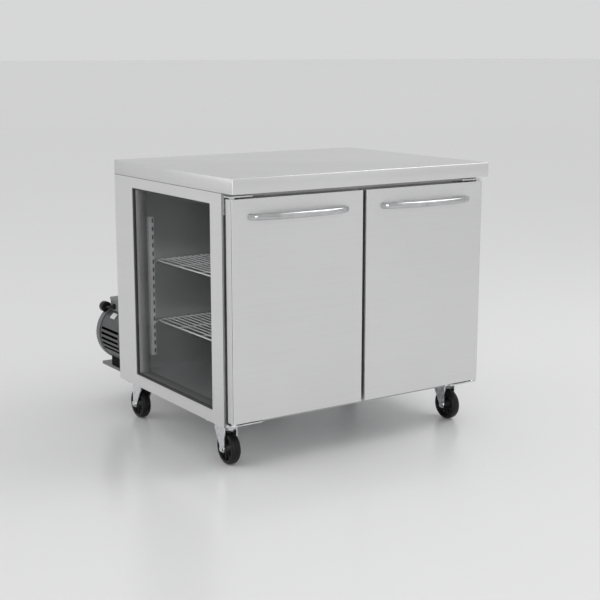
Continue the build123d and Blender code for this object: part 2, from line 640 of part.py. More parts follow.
with BuildPart() as condenser_motor:
    rod((FAN_X, 912, FAN_Z), (FAN_X, 960, FAN_Z), 42)
    rod((FAN_X, 872, FAN_Z), (FAN_X, 914, FAN_Z), 4)
condenser_motor.part.label = "condenser_motor"
export_step(condenser_motor.part, "parts/condenser_motor.step")

with BuildPart() as condenser_fan:
    fan_place = Location(at(FAN_X, 884, FAN_Z)) * Rot(90, 0, 0)
    with Locations(fan_place):
        fan_blades(98, 24, 2.0, 46, 24, 5)
    rod((FAN_X, 872, FAN_Z), (FAN_X, 898, FAN_Z), 24)
    rod((FAN_X, 860, FAN_Z), (FAN_X, 900, FAN_Z), 4.05, mode=Mode.SUBTRACT)
condenser_fan.part.label = "condenser_fan"
export_step(condenser_fan.part, "parts/condenser_fan.step")

with BuildPart() as condenser_guard:
    guard_y = 906.0
    with Locations(Location(at(FAN_X, guard_y, FAN_Z)) * Rot(90, 0, 0)):
        for ring in (52, 70, 88, 110):
            Torus(ring, 2)
    for i in range(6):
        angle = radians(60 * i + 30)
        inner = (FAN_X + 40 * cos(angle), guard_y + 4, FAN_Z + 40 * sin(angle))
        outer = (FAN_X + 111 * cos(angle), guard_y + 4, FAN_Z + 111 * sin(angle))
        rod(inner, outer, 2.2)
    for i in range(3):
        angle = radians(120 * i + 30)
        x, z = FAN_X + 110 * cos(angle), FAN_Z + 110 * sin(angle)
        rod((x, SHROUD_Y[1], z), (x, guard_y + 4, z), 4)
    rod((FAN_X, 912, FAN_Z), (FAN_X, 960, FAN_Z), 42, mode=Mode.SUBTRACT)
condenser_guard.part.label = "condenser_guard"
export_step(condenser_guard.part, "parts/condenser_guard.step")

# ------------------------------------------------------- refrigerant circuit
with BuildPart() as filter_drier:
    rod((650, 930, 62), (650, 930, 158), 22)
    ends = filter_drier.edges().filter_by(GeomType.CIRCLE)
    fillet(ends, 10)
filter_drier.part.label = "filter_drier"
export_step(filter_drier.part, "parts/filter_drier.step")

with BuildPart() as refrigerant_pipes:
    liquid_x, liquid_z = LIQUID_AT
    suction_x, suction_z = SUCTION_AT
    coil_right, condenser_right = COIL_ENDS[1] + COIL_TUBE - 0.5, coil_ends[1]
    discharge = [
        (254, 846, 128),
        (266, 846, 128),
        (266, 846, passes[0][1]),
        (266, 805, passes[0][1]),
        (coil_ends[0], 805, passes[0][1]),
    ]
    to_drier = [
        (condenser_right, *passes[-1]),
        (614, *passes[-1]),
        (614, 930, passes[-1][1]),
        (650, 930, passes[-1][1]),
        (650, 930, 158),
    ]
    liquid = [
        (650, 930, 62),
        (650, 930, 38),
        (650, 968, 38),
        (650, 968, 270),
        (liquid_x, 968, 270),
        (liquid_x, 790, 270),
        (liquid_x, 790, liquid_z),
        (liquid_x, 683, liquid_z),
        (648, 683, liquid_z),
        (648, 634, liquid_z),
        (coil_right, 634, liquid_z),
    ]
    suction = [
        (coil_right, 660, suction_z),
        (646, 660, suction_z),
        (646, 682, suction_z),
        (suction_x, 682, suction_z),
        (suction_x, 800, suction_z),
        (suction_x, 800, 290),
        (226, 800, 290),
        (226, 846, 290),
        (226, 846, 200),
    ]
    pipe(discharge, DISCHARGE_PIPE, 7)
    pipe(to_drier, DISCHARGE_PIPE, 8)
    pipe(liquid, LIQUID_PIPE, 8)
    pipe(suction, SUCTION_PIPE, 7)
refrigerant_pipes.part.label = "refrigerant_pipes"
export_step(refrigerant_pipes.part, "parts/refrigerant_pipes.step")

# -------------------------------------------------------------- control box
with BuildPart() as control_box:
    block((760, 900), (DEPTH, 826), (540, 640))
    box_edges = control_box.faces().sort_by(Axis.Y)[-1].edges()
    fillet(box_edges, 3)
    rod((795, 815, 592), (795, 830, 592), 3.05, mode=Mode.SUBTRACT)
    block((848, 872), (818, 830), (574, 610), mode=Mode.SUBTRACT)
    rod((830, 800, 530), (830, 800, 540), 11)
control_box.part.label = "control_box"
export_step(control_box.part, "parts/control_box.step")

with BuildPart() as thermostat_knob:
    rod((795, 826.4, 592), (795, 844, 592), 20)
    knob_edges = thermostat_knob.edges().filter_by(GeomType.CIRCLE).sort_by(Axis.Y)[-1:]
    fillet(knob_edges, 2)
    rod((795, 817, 592), (795, 830, 592), 3)
    block((793.5, 796.5), (843, 846), (594, 611))
thermostat_knob.part.label = "thermostat_knob"
export_step(thermostat_knob.part, "parts/thermostat_knob.step")

ROCKER_TILT = 9.0
with BuildPart() as power_switch:
    with Locations(Location(at(860, 825, 592)) * Rot(ROCKER_TILT, 0, 0)):
        Box(22, 5, 31)
    rod((849, 824, 592), (871, 824, 592), 3)
power_switch.part.label = "power_switch"
export_step(power_switch.part, "parts/power_switch.step")

# ------------------------------------------------------------------ casters
with BuildPart() as caster_plates:
    for x, y, trail in CASTERS.values():
        block((x - 45, x + 45), (y - 50, y + 50), (-3, 0))
        rod((x, y, -11), (x, y, -3), 27)
        rod((x, y, -15.3), (x, y, -5), KINGPIN_RADIUS)
        rod((x, y, -21), (x, y, -15.3), 12)
    for x, y in bolt_places:
        rod((x, y, -5), (x, y, 1), BOLT_RADIUS, mode=Mode.SUBTRACT)
caster_plates.part.label = "caster_plates"
export_step(caster_plates.part, "parts/caster_plates.step")

with BuildPart() as caster_bolts:
    for x, y in bolt_places:
        with BuildSketch(Plane.XY.offset(CASTER_HEIGHT - 8.4)):
            with Locations((x - WIDTH / 2, y - MID_DEPTH)):
                RegularPolygon(7.5, 6)
        extrude(amount=5.4)
        rod((x, y, -5), (x, y, 1.5), BOLT_RADIUS)
caster_bolts.part.label = "caster_bolts"
export_step(caster_bolts.part, "parts/caster_bolts.step")

for corner, (x, y, trail) in CASTERS.items():
    axle_y = y + trail * SWIVEL_OFFSET

    with BuildPart() as caster_fork:
        crown_y = sorted((y - trail * 30, y + trail * 40))
        block((x - 23.5, x + 23.5), crown_y, (-15, -11.3))
        with BuildSketch(Plane(origin=at(x - 23.5, axle_y, AXLE_Z), x_dir=(0, 1, 0), z_dir=(1, 0, 0))):
            crown_z = -11.3 - AXLE_Z
            with BuildLine():
                Polyline(
                    (trail * 12, 0),
                    (trail * 12, crown_z),
                    (-trail * 46, crown_z),
                    (-trail * 46, crown_z - 16),
                    (-trail * 11.3, -4),
                    (trail * 12, 0),
                )
            make_face()
            Circle(12)
        extrude(amount=3.5)
        add(mirror(about=Plane(origin=at(x, y, 0), z_dir=(1, 0, 0)), mode=Mode.PRIVATE))
        rod((x, y, -16), (x, y, -11), KINGPIN_RADIUS + 0.08, mode=Mode.SUBTRACT)
        rod((x - 29, axle_y, AXLE_Z), (x + 29, axle_y, AXLE_Z), AXLE_RADIUS)
        for end in (x - 29, x + 23.5):
            rod((end, axle_y, AXLE_Z), (end + 5.5, axle_y, AXLE_Z), 9)
    caster_fork.part.label = f"caster_fork_{corner}"
    export_step(caster_fork.part, f"parts/caster_fork_{corner}.step")

    with BuildPart() as caster_wheel:
        with BuildSketch(Plane(origin=at(x, axle_y, AXLE_Z), x_dir=(1, 0, 0), z_dir=(0, 1, 0))):
            half = WHEEL_WIDTH / 2
            with BuildLine():
                Polyline((-19, AXLE_RADIUS + 0.06), (19, AXLE_RADIUS + 0.06), (19, 15), (6, 18))
                Polyline((6, 18), (6, 36), (half - 3, 39), (half, 42))
                ThreePointArc((half, 42), (half - 3, 48.5), (half - 9, WHEEL_RADIUS))
                Line((half - 9, WHEEL_RADIUS), (9 - half, WHEEL_RADIUS))
                ThreePointArc((9 - half, WHEEL_RADIUS), (3 - half, 48.5), (-half, 42))
                Polyline((-half, 42), (3 - half, 39), (-6, 36), (-6, 18), (-19, 15))
                Line((-19, 15), (-19, AXLE_RADIUS + 0.06))
            make_face()
        revolve(axis=Axis(at(x, axle_y, AXLE_Z), (1, 0, 0)))
    caster_wheel.part.label = f"caster_wheel_{corner}"
    export_step(caster_wheel.part, f"parts/caster_wheel_{corner}.step")
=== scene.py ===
import json
import math

import bmesh
import bpy
from mathutils import Matrix, Vector


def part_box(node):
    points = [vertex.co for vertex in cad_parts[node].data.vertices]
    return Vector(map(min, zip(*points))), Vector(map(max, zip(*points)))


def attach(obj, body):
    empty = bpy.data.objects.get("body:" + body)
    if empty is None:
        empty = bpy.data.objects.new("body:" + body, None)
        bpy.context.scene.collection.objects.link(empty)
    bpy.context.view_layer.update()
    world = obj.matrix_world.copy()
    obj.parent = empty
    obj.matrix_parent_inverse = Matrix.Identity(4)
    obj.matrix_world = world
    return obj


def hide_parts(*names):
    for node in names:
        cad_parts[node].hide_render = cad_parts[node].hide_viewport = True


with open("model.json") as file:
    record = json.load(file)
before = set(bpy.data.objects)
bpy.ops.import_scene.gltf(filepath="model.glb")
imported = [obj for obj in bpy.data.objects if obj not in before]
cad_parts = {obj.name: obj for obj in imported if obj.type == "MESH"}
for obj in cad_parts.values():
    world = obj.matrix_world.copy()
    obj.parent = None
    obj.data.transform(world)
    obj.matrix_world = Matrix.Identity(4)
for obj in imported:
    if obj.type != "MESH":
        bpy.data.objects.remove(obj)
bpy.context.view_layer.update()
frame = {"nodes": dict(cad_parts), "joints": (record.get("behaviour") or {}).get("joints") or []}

# Camera. It stands off the left end of the doors and a little above the worktop, so
# that the doors, the glazed side and the top all show.
camera = bpy.data.objects.new("camera", bpy.data.cameras.new("camera"))
camera.data.lens = 74.424
camera.location = (-2.27235, -3.51586, 1.24033)
camera.rotation_euler = (math.radians(78.644), 0, math.radians(-33.752))
bpy.context.scene.collection.objects.link(camera)
bpy.context.scene.camera = camera

# Studio. A seamless pale floor with a soft sheen, an even pale surround, and softboxes
# on the right, in front, at the glazed side and at its window.
bpy.context.scene.view_settings.view_transform = "Standard"
surround = bpy.data.worlds.new("surround")
bpy.context.scene.world = surround
surround.use_nodes = True
surround.node_tree.nodes["Background"].inputs["Color"].default_value = (0.995, 0.998, 1.0, 1)
surround.node_tree.nodes["Background"].inputs["Strength"].default_value = 0.68


def softbox(name, place, aim, size, power):
    """Square area lamp that looks at a point."""
    lamp = bpy.data.lights.new(name, "AREA")
    lamp.shape, lamp.size, lamp.energy = "SQUARE", size, power
    holder = bpy.data.objects.new(name, lamp)
    holder.location = place
    holder.rotation_euler = (Vector(aim) - Vector(place)).to_track_quat("-Z", "Y").to_euler()
    holder.visible_camera = False
    bpy.context.scene.collection.objects.link(holder)


softbox("softbox_right", (2.6, -1.6, 3.6), (0, 0, 0.3), 2.4, 40)
softbox("softbox_front", (3.4, -5.6, 2.3), (0, 0, 0.4), 4.0, 9)
softbox("softbox_side", (-6.0, 3.4, 3.0), (0, 0, 0.4), 5.0, 62)
softbox("softbox_window", (-2.9, -4.6, 1.7), (-0.35, 0.15, 0.5), 1.2, 40)

FLOOR_REACH = 150.0
floor_mesh = bpy.data.meshes.new("floor")
floor_mesh.from_pydata(
    [(sx * FLOOR_REACH, sy * FLOOR_REACH, 0) for sx, sy in ((-1, -1), (1, -1), (1, 1), (-1, 1))],
    [],
    [(0, 1, 2, 3)],
)
floor = bpy.data.objects.new("floor", floor_mesh)
bpy.context.scene.collection.objects.link(floor)
floor_finish = bpy.data.materials.new("pale floor")
floor_finish.use_nodes = True
floor_shader = floor_finish.node_tree.nodes["Principled BSDF"]
floor_shader.inputs["Base Color"].default_value = (0.86, 0.86, 0.86, 1)
floor_shader.inputs["Roughness"].default_value = 0.22
floor_shader.inputs["Specular IOR Level"].default_value = 0.35
floor_mesh.materials.append(floor_finish)

# Worktop. One pan of 1.5 mm stainless sheet: its four lips are folded down, the
# corners are welded and ground, and a return under the front overhang stiffens it.
AXES = {
    "x": lambda u, v, n: (n, u, v),
    "y": lambda u, v, n: (u, n, v),
    "z": lambda u, v, n: (u, v, n),
}


def ring(u, v, level, corner=0.0, steps=3):
    """Points round a rectangle; corner is one radius, or four from the low corner round."""
    radii = corner if isinstance(corner, tuple) else (corner,) * 4
    turns = (
        (u[0], v[0], 1, 1, 180), (u[1], v[0], -1, 1, 270), (u[1], v[1], -1, -1, 0),
        (u[0], v[1], 1, -1, 90),
    )
    points = []
    for (cu, cv, su, sv, start), radius in zip(turns, radii):
        for step in range(steps + 1):
            angle = math.radians(start + 90 * step / steps)
            points.append((cu + (su + math.cos(angle)) * radius, cv + (sv + math.sin(angle)) * radius, level))
    return points


def inset(span, amount):
    return (span[0] + amount, span[1] - amount)


def loft(mesh, rings, axis="z", closed=False):
    """Joins rings of points into a skin, capped at both ends unless it closes on itself."""
    rows = [[mesh.verts.new(AXES[axis](*point)) for point in points] for points in rings]
    pairs = list(zip(rows, rows[1:]))
    if closed:
        pairs.append((rows[-1], rows[0]))
    for first, second in pairs:
        for i in range(len(first)):
            j = (i + 1) % len(first)
            mesh.faces.new((first[i], first[j], second[j], second[i]))
    if not closed:
        mesh.faces.new(rows[0][::-1])
        mesh.faces.new(rows[-1])


def stack(profile, u, v, corner=0.0, steps=3):
    """Rectangles for a loft, each drawn in by an amount at its level."""
    return [ring(inset(u, amount), inset(v, amount), level, corner, steps) for amount, level in profile]


def piece(name, mesh, finish, fold=32):
    """Object from a worked mesh: doubles merged, faces outward, folds kept crisp."""
    bmesh.ops.remove_doubles(mesh, verts=mesh.verts, dist=1e-6)
    bmesh.ops.dissolve_degenerate(mesh, edges=mesh.edges, dist=1e-7)
    bmesh.ops.recalc_face_normals(mesh, faces=mesh.faces)
    data = bpy.data.meshes.new(name)
    mesh.to_mesh(data)
    mesh.free()
    data.shade_smooth()
    data.set_sharp_from_angle(angle=math.radians(fold))
    data.materials.append(finish)
    made = bpy.data.objects.new(name, data)
    bpy.context.scene.collection.objects.link(made)
    return made


def fill(tree, node, entries):
    """Sets a node's inputs, or links one where its entry is another node's output."""
    for name, value in entries.items():
        if isinstance(value, bpy.types.NodeSocket):
            tree.links.new(value, node.inputs[name])
        else:
            node.inputs[name].default_value = value
    return node.outputs


def grow(tree, kind, entries, **settings):
    """A new node with its settings and its inputs; gives its outputs."""
    node = tree.nodes.new(kind)
    for name, value in settings.items():
        setattr(node, name, value)
    return fill(tree, node, entries)


def shade(finish, entries):
    """Sets or links inputs of the finish's own shader."""
    fill(finish.node_tree, finish.node_tree.nodes["Principled BSDF"], entries)


def start_finish(name, metallic, roughness):
    finish = bpy.data.materials.new(name)
    finish.use_nodes = True
    shade(finish, {"Metallic": metallic, "Roughness": roughness})
    return finish


def mottle(finish, repeats, detail=3.0, shift=0.0):
    """Noise on the piece's own coordinates, with so many repeats a metre each way."""
    tree = finish.node_tree
    place = grow(tree, "ShaderNodeTexCoord", {})["Object"]
    scale = repeats if isinstance(repeats, tuple) else (repeats,) * 3
    moved = {"Vector": place, "Scale": scale, "Location": (shift,) * 3}
    place = grow(tree, "ShaderNodeMapping", moved)["Vector"]
    return grow(tree, "ShaderNodeTexNoise", {"Vector": place, "Scale": 1.0, "Detail": detail})["Fac"]


def between(finish, value, low, high):
    entries = {"Value": value, "From Min": 0.3, "From Max": 0.7, "To Min": low, "To Max": high}
    return grow(finish.node_tree, "ShaderNodeMapRange", entries)["Result"]


def tones(finish, value, dark, light):
    """Colour between two tones, each given as a colour or as one grey."""
    ramp = finish.node_tree.nodes.new("ShaderNodeValToRGB")
    for stop, position, tone in zip(ramp.color_ramp.elements, (0.3, 0.7), (dark, light)):
        stop.position = position
        stop.color = (*(tone if isinstance(tone, (tuple, list)) else (tone,) * 3), 1)
    return fill(finish.node_tree, ramp, {"Fac": value})["Color"]


def relief(finish, value, strength, depth):
    entries = {"Height": value, "Strength": strength, "Distance": depth}
    shade(finish, {"Normal": grow(finish.node_tree, "ShaderNodeBump", entries)["Normal"]})


def polished_sheet(name, dark, light, roughness, grain, depth=0.00012, marks=0.05):
    """Sheet metal with a polishing grain and the faint marks that wiping leaves."""
    finish = start_finish(name, 1.0, roughness)
    lines = mottle(finish, grain, 2.0, 3.7)
    wiped = mottle(finish, (7.0, 7.0, 4.0), 5.0, 9.1)
    patches = mottle(finish, 2.6, 4.0)
    brushed = grow(finish.node_tree, "ShaderNodeMix", {"Factor": 0.45, "A": patches, "B": lines})["Result"]
    half = marks / 2
    dullness = {
        0: between(finish, lines, roughness - half, roughness + half),
        1: between(finish, wiped, -half, half),
    }
    dullness = grow(finish.node_tree, "ShaderNodeMath", dullness, operation="ADD")["Value"]
    shade(finish, {"Base Color": tones(finish, brushed, dark, light), "Roughness": dullness})
    relief(finish, lines, 0.25, depth)
    return finish


top_low, top_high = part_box("worktop")
WORKTOP_SHEET = 0.0015
TOP_EDGE = 0.0024
RETURN_DEPTH = 0.060
top_steel = polished_sheet("worktop steel", 0.69, 0.75, 0.36, (3, 260, 3), depth=0.00004)
pan = bmesh.new()
pan_x, pan_y = (top_low.x, top_high.x), (top_low.y, top_high.y)
hem = WORKTOP_SHEET / 2
pan_rings = [
    (WORKTOP_SHEET, top_high.z - WORKTOP_SHEET), (WORKTOP_SHEET, top_low.z + hem),
    (WORKTOP_SHEET * 0.8, top_low.z + hem * 0.3), (hem, top_low.z),
    (WORKTOP_SHEET * 0.2, top_low.z + hem * 0.3), (0.0, top_low.z + hem),
]
for step in range(5):
    angle = math.radians(90 * step / 4)
    pan_rings.append((TOP_EDGE * (1 - math.cos(angle)), top_high.z - TOP_EDGE * (1 - math.sin(angle))))
loft(pan, stack(pan_rings, pan_x, pan_y, 0.0026, 4))
RETURN_INSET = 0.002
return_rings = []
for i, z in ((0.0004, 0.0003), (0, 0.0006), (0, 0.0012), (0.0004, WORKTOP_SHEET)):
    return_y = (top_low.y + RETURN_INSET + i, top_low.y + RETURN_DEPTH - i)
    return_rings.append(ring(inset(pan_x, i + RETURN_INSET), return_y, top_low.z + z, 0.0004))
loft(pan, return_rings)
worktop = piece("worktop_pan", pan, top_steel)
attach(worktop, "cabinet")
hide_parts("worktop")

# Insulation. Rigid foam boards between the liner and the outer sheets, cut square
# and pushed in dry; they show only at the joints.
foam = start_finish("foam board", 0.0, 0.9)
cells = mottle(foam, 400, 2.0)
shade(foam, {"Base Color": tones(foam, cells, (0.62, 0.55, 0.38), (0.76, 0.70, 0.52))})
relief(foam, cells, 0.6, 0.0006)


def recoat(finish, *nodes):
    """Gives a finish to CAD parts whose shape stays."""
    for node in nodes:
        frame["nodes"][node].data.materials.clear()
        frame["nodes"][node].data.materials.append(finish)


recoat(foam, "insulation", "door_left_core", "door_right_core")

# Side panels. Stainless sheet hung from the worktop and screwed under the base, with
# rolled edges; the left one is cut out round the window.
side_steel = polished_sheet("side panel steel", 0.71, 0.76, 0.36, (3, 3, 260))
EDGE_ROLL = 0.0005
seal_low, seal_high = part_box("window_seal")
left_low, left_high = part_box("side_panel_left")
panel = bmesh.new()
outer_y, outer_z = (left_low.y, left_high.y), (left_low.z, left_high.z)
cut_y, cut_z = (seal_low.y, seal_high.y), (seal_low.z, seal_high.z)
loft(
    panel,
    [
        ring(inset(outer_y, EDGE_ROLL), inset(outer_z, EDGE_ROLL), left_high.x, 0.001),
        ring(outer_y, outer_z, left_low.x + EDGE_ROLL, 0.001),
        ring(inset(outer_y, EDGE_ROLL), inset(outer_z, EDGE_ROLL), left_low.x, 0.001),
        ring(inset(cut_y, -EDGE_ROLL), inset(cut_z, -EDGE_ROLL), left_low.x, 0.003),
        ring(cut_y, cut_z, left_low.x + EDGE_ROLL, 0.0026),
        ring(cut_y, cut_z, left_high.x, 0.0026),
    ],
    "x",
    closed=True,
)
left_panel = piece("side_panel_left_sheet", panel, side_steel)
right_low, right_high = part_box("side_panel_right")
panel = bmesh.new()
right_profile = (
    (EDGE_ROLL, right_low.x), (0, right_high.x - EDGE_ROLL),
    (EDGE_ROLL * 0.3, right_high.x - EDGE_ROLL * 0.3), (EDGE_ROLL, right_high.x),
)
right_y, right_z = (right_low.y, right_high.y), (right_low.z, right_high.z)
loft(panel, stack(right_profile, right_y, right_z, 0.001), "x")
right_panel = piece("side_panel_right_sheet", panel, side_steel)
for made, node in ((left_panel, "side_panel_left"), (right_panel, "side_panel_right")):
    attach(made, "cabinet")
    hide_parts(node)

# Panel seam. A bead of grey silicone that closes the joint between the worktop's lips
# and the tops of the panels on three sides.
def drift(finish, repeats, dark, light, detail=3.0):
    """Lets the colour wander between two tones."""
    shade(finish, {"Base Color": tones(finish, mottle(finish, repeats, detail), dark, light)})


silicone = start_finish("seam silicone", 0.0, 0.5)
drift(silicone, (80, 80, 30), 0.20, 0.27)
seam = bmesh.new()
seam_x, seam_y = (left_low.x, right_high.x), (left_low.y, left_high.y)
seam_profile = (
    (0.0017, left_high.z - 0.0002), (0.0005, left_high.z),
    (0.0004, top_low.z), (0.0017, top_low.z + 0.0002),
)
loft(seam, stack(seam_profile, seam_x, seam_y, 0.001), closed=True)
seam_bead = piece("panel_seam_bead", seam, silicone)
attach(seam_bead, "cabinet")

# Back and base. Galvanised sheet with its zinc spangle; the back is fixed with pan
# head screws all round.
def dull(finish, value, low, high):
    """Lets the roughness wander between two values."""
    shade(finish, {"Roughness": between(finish, value, low, high)})


zinc_sheet = start_finish("galvanised sheet", 1.0, 0.42)
spangle = grow(zinc_sheet.node_tree, "ShaderNodeTexCoord", {})["Object"]
spangle = grow(zinc_sheet.node_tree, "ShaderNodeTexVoronoi", {"Vector": spangle, "Scale": 70.0})["Color"]
spangle = grow(zinc_sheet.node_tree, "ShaderNodeSeparateColor", {"Color": spangle})
shade(zinc_sheet, {"Base Color": tones(zinc_sheet, spangle["Red"], (0.50, 0.51, 0.52), (0.60, 0.61, 0.62))})
dull(zinc_sheet, spangle["Green"], 0.38, 0.50)
relief(zinc_sheet, mottle(zinc_sheet, 60, 2.0), 0.12, 0.0004)
recoat(zinc_sheet, "back_panel", "base_panel", "condenser_shroud")


def start_tree(name, inputs):
    """Geometry Nodes tree with named inputs, each a kind and a first value."""
    tree = bpy.data.node_groups.new(name, "GeometryNodeTree")
    for label, (kind, size) in inputs.items():
        socket = tree.interface.new_socket(label, in_out="INPUT", socket_type="NodeSocket" + kind)
        if size is not None:
            socket.default_value = size
    tree.interface.new_socket("Geometry", in_out="OUTPUT", socket_type="NodeSocketGeometry")
    return tree, tree.nodes.new("NodeGroupInput").outputs


def end_tree(tree, shape, finish):
    """Makes the instances real and sets the finish."""
    real = grow(tree, "GeometryNodeRealizeInstances", {"Geometry": shape})["Geometry"]
    coated = grow(tree, "GeometryNodeSetMaterial", {"Geometry": real, "Material": finish})["Geometry"]
    grow(tree, "NodeGroupOutput", {"Geometry": coated})
    return tree


def copies_tree():
    """The pattern object, copied on every point and turned by its turn attribute."""
    inputs = {"Points": ("Geometry", None), "Pattern": ("Object", None), "Finish": ("Material", None)}
    tree, given = start_tree("copies on points", inputs)
    pattern = grow(tree, "GeometryNodeObjectInfo", {"Object": given["Pattern"]})["Geometry"]
    turn = grow(tree, "GeometryNodeInputNamedAttribute", {"Name": "turn"}, data_type="FLOAT_VECTOR")
    turn = grow(tree, "FunctionNodeEulerToRotation", {"Euler": turn["Attribute"]})["Rotation"]
    spread = {"Points": given["Points"], "Instance": pattern, "Rotation": turn}
    return end_tree(tree, grow(tree, "GeometryNodeInstanceOnPoints", spread)["Instances"], given["Finish"])


def grown_piece(name, source, tree, sizes):
    """Plain mesh object from a source object and a Geometry Nodes tree with its inputs."""
    shaping = source.modifiers.new("shaping", "NODES")
    shaping.node_group = tree
    for socket in tree.interface.items_tree:
        if socket.item_type == "SOCKET" and socket.name in sizes:
            shaping[socket.identifier] = sizes[socket.name]
    bpy.context.scene.collection.objects.link(source)
    ready = source.evaluated_get(bpy.context.evaluated_depsgraph_get())
    data = bpy.data.meshes.new_from_object(ready)
    data.name = name
    bpy.data.objects.remove(source)
    made = bpy.data.objects.new(name, data)
    bpy.context.scene.collection.objects.link(made)
    data.shade_smooth()
    data.set_sharp_from_angle(angle=math.radians(32))
    return made


COPIES = copies_tree()


def copies(name, pattern_mesh, places, finish):
    """Copies of a small worked mesh, one at each (point, turn)."""
    bmesh.ops.remove_doubles(pattern_mesh, verts=pattern_mesh.verts, dist=1e-7)
    bmesh.ops.recalc_face_normals(pattern_mesh, faces=pattern_mesh.faces)
    pattern_data = bpy.data.meshes.new(name + "_pattern")
    pattern_mesh.to_mesh(pattern_data)
    pattern_mesh.free()
    pattern = bpy.data.objects.new(name + "_pattern", pattern_data)
    points = bpy.data.meshes.new(name + "_points")
    points.from_pydata([tuple(point) for point, _ in places], [], [])
    turns = points.attributes.new("turn", "FLOAT_VECTOR", "POINT")
    turns.data.foreach_set("vector", [angle for _, turn in places for angle in turn])
    holder = bpy.data.objects.new(name + "_points", points)
    made = grown_piece(name, holder, COPIES, {"Pattern": pattern, "Finish": finish})
    bpy.data.objects.remove(pattern)
    return made


def around(centre, radius, angle):
    return centre[0] + radius * math.cos(angle), centre[1] + radius * math.sin(angle)


def disc(radius, level, count=12, centre=(0.0, 0.0)):
    """Points round a circle."""
    return [(*around(centre, radius, math.tau * i / count), level) for i in range(count)]


def pan_head(radius, height):
    """Screw head along +Z with a six-sided recess."""
    head = bmesh.new()
    recess = radius * 0.42
    levels = (
        (radius, 0), (radius, height * 0.45), (radius * 0.72, height), (recess, height),
        (recess * 0.9, height * 0.4),
    )
    loft(head, [disc(r, z) for r, z in levels])
    return head


screw_zinc = start_finish("zinc plated screw", 1.0, 0.3)
drift(screw_zinc, 500, (0.50, 0.51, 0.53), (0.68, 0.69, 0.71))


def screws(name, radius, height, places):
    """Pan heads fixed in the cabinet, one at each (point, turn)."""
    heads = copies(name, pan_head(radius, height), places, screw_zinc)
    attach(heads, "cabinet")


TO_BACK = (math.radians(-90), 0, 0)
TO_FRONT = (math.radians(90), 0, 0)
TO_RIGHT = (0, math.radians(90), 0)
UPWARD = (0, 0, 0)
SCREW_MARGIN = 0.014
back_low, back_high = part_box("back_panel")
tray_low, tray_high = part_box("rear_tray")
back_screws = []
for i in range(9):
    x = back_low.x + SCREW_MARGIN + (back_high.x - back_low.x - 2 * SCREW_MARGIN) * i / 8
    back_screws.append(((x, back_high.y, back_high.z - SCREW_MARGIN), TO_BACK))
    if not tray_low.x - 0.01 < x < tray_high.x + 0.01:
        back_screws.append(((x, back_high.y, back_low.z + SCREW_MARGIN), TO_BACK))
for i in range(1, 6):
    z = back_low.z + (back_high.z - back_low.z) * i / 6
    for x in (back_low.x + SCREW_MARGIN, back_high.x - SCREW_MARGIN):
        back_screws.append(((x, back_high.y, z), TO_BACK))
screws("back_panel_screws", 0.0045, 0.0024, back_screws)

# Liner. One bright-annealed stainless box folded and welded inside the foam; in the
# shut cabinet it mirrors itself faintly and reads as dark grey.
liner_steel = polished_sheet(
    "liner steel", (0.66, 0.665, 0.67), (0.74, 0.745, 0.75), 0.46, (3, 180, 3), marks=0.08,
)
recoat(liner_steel, "liner")

# Front frame. A thermal-break frame of brushed sheet, snapped over the front edges
# of the liner and the outer panels; the door gaskets close on it.
# The frame steel is a darker copy of the door steel: painted shade for the set-back strip between the panels
# and the doors.
frame_steel_painted_shade = polished_sheet(
    "front frame steel with painted shade", (0.34, 0.34, 0.345), (0.42, 0.42, 0.425), 0.36, (260, 260, 4),
)
recoat(frame_steel_painted_shade, "front_frame")

# Window. Two panes of toughened glass in a black rubber channel that grips the edge
# of the cut-out in the side panel, with a folded steel lining behind them.
glass = start_finish("window glass", 0.0, 0.03)
smears = between(glass, mottle(glass, 5, 4.0), 0.02, 0.04)
shade(glass, {"Base Color": (0.10, 0.11, 0.11, 1), "IOR": 1.5, "Alpha": smears})
recoat(glass, "window_glass")


def moulded_rubber(name, tone, roughness):
    finish = start_finish(name, 0.0, roughness)
    skin = mottle(finish, 350, 4.0)
    drift(finish, 30, [channel * 0.8 for channel in tone], tone)
    dull(finish, skin, roughness - 0.08, roughness + 0.08)
    relief(finish, skin, 0.25, 0.0002)
    return finish


seal_rubber = moulded_rubber("window seal rubber", (0.030, 0.030, 0.032), 0.6)
seal = bmesh.new()
SEAL_SIGHT = 0.0060
SEAL_REAR = seal_low.x + 0.0085
seal_profile = [
    (0.0, seal_low.x + 0.0004), (0.0012, seal_low.x), (0.0030, seal_low.x + 0.0003),
    (0.0052, seal_low.x + 0.0014), (SEAL_SIGHT, seal_low.x + 0.0032), (SEAL_SIGHT, SEAL_REAR - 0.0008),
    (SEAL_SIGHT - 0.0008, SEAL_REAR), (0.0, SEAL_REAR),
]
loft(seal, stack(seal_profile, cut_y, cut_z, 0.0024), "x", closed=True)
window_seal = piece("window_seal_channel", seal, seal_rubber)
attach(window_seal, "cabinet")
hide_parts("window_seal")
reveal = bmesh.new()
reveal_profile = [
    (0.0, SEAL_REAR + 0.0002), (SEAL_SIGHT - 0.0004, SEAL_REAR + 0.0002),
    (SEAL_SIGHT, SEAL_REAR + 0.0010), (SEAL_SIGHT, seal_high.x - 0.0006),
    (SEAL_SIGHT - 0.0006, seal_high.x), (0.0, seal_high.x),
]
loft(reveal, stack(reveal_profile, cut_y, cut_z, 0.0024), "x", closed=True)
lining_steel = polished_sheet("window lining steel", 0.36, 0.43, 0.45, (3, 3, 160))
window_reveal = piece("window_reveal_lining", reveal, lining_steel)
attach(window_reveal, "cabinet")

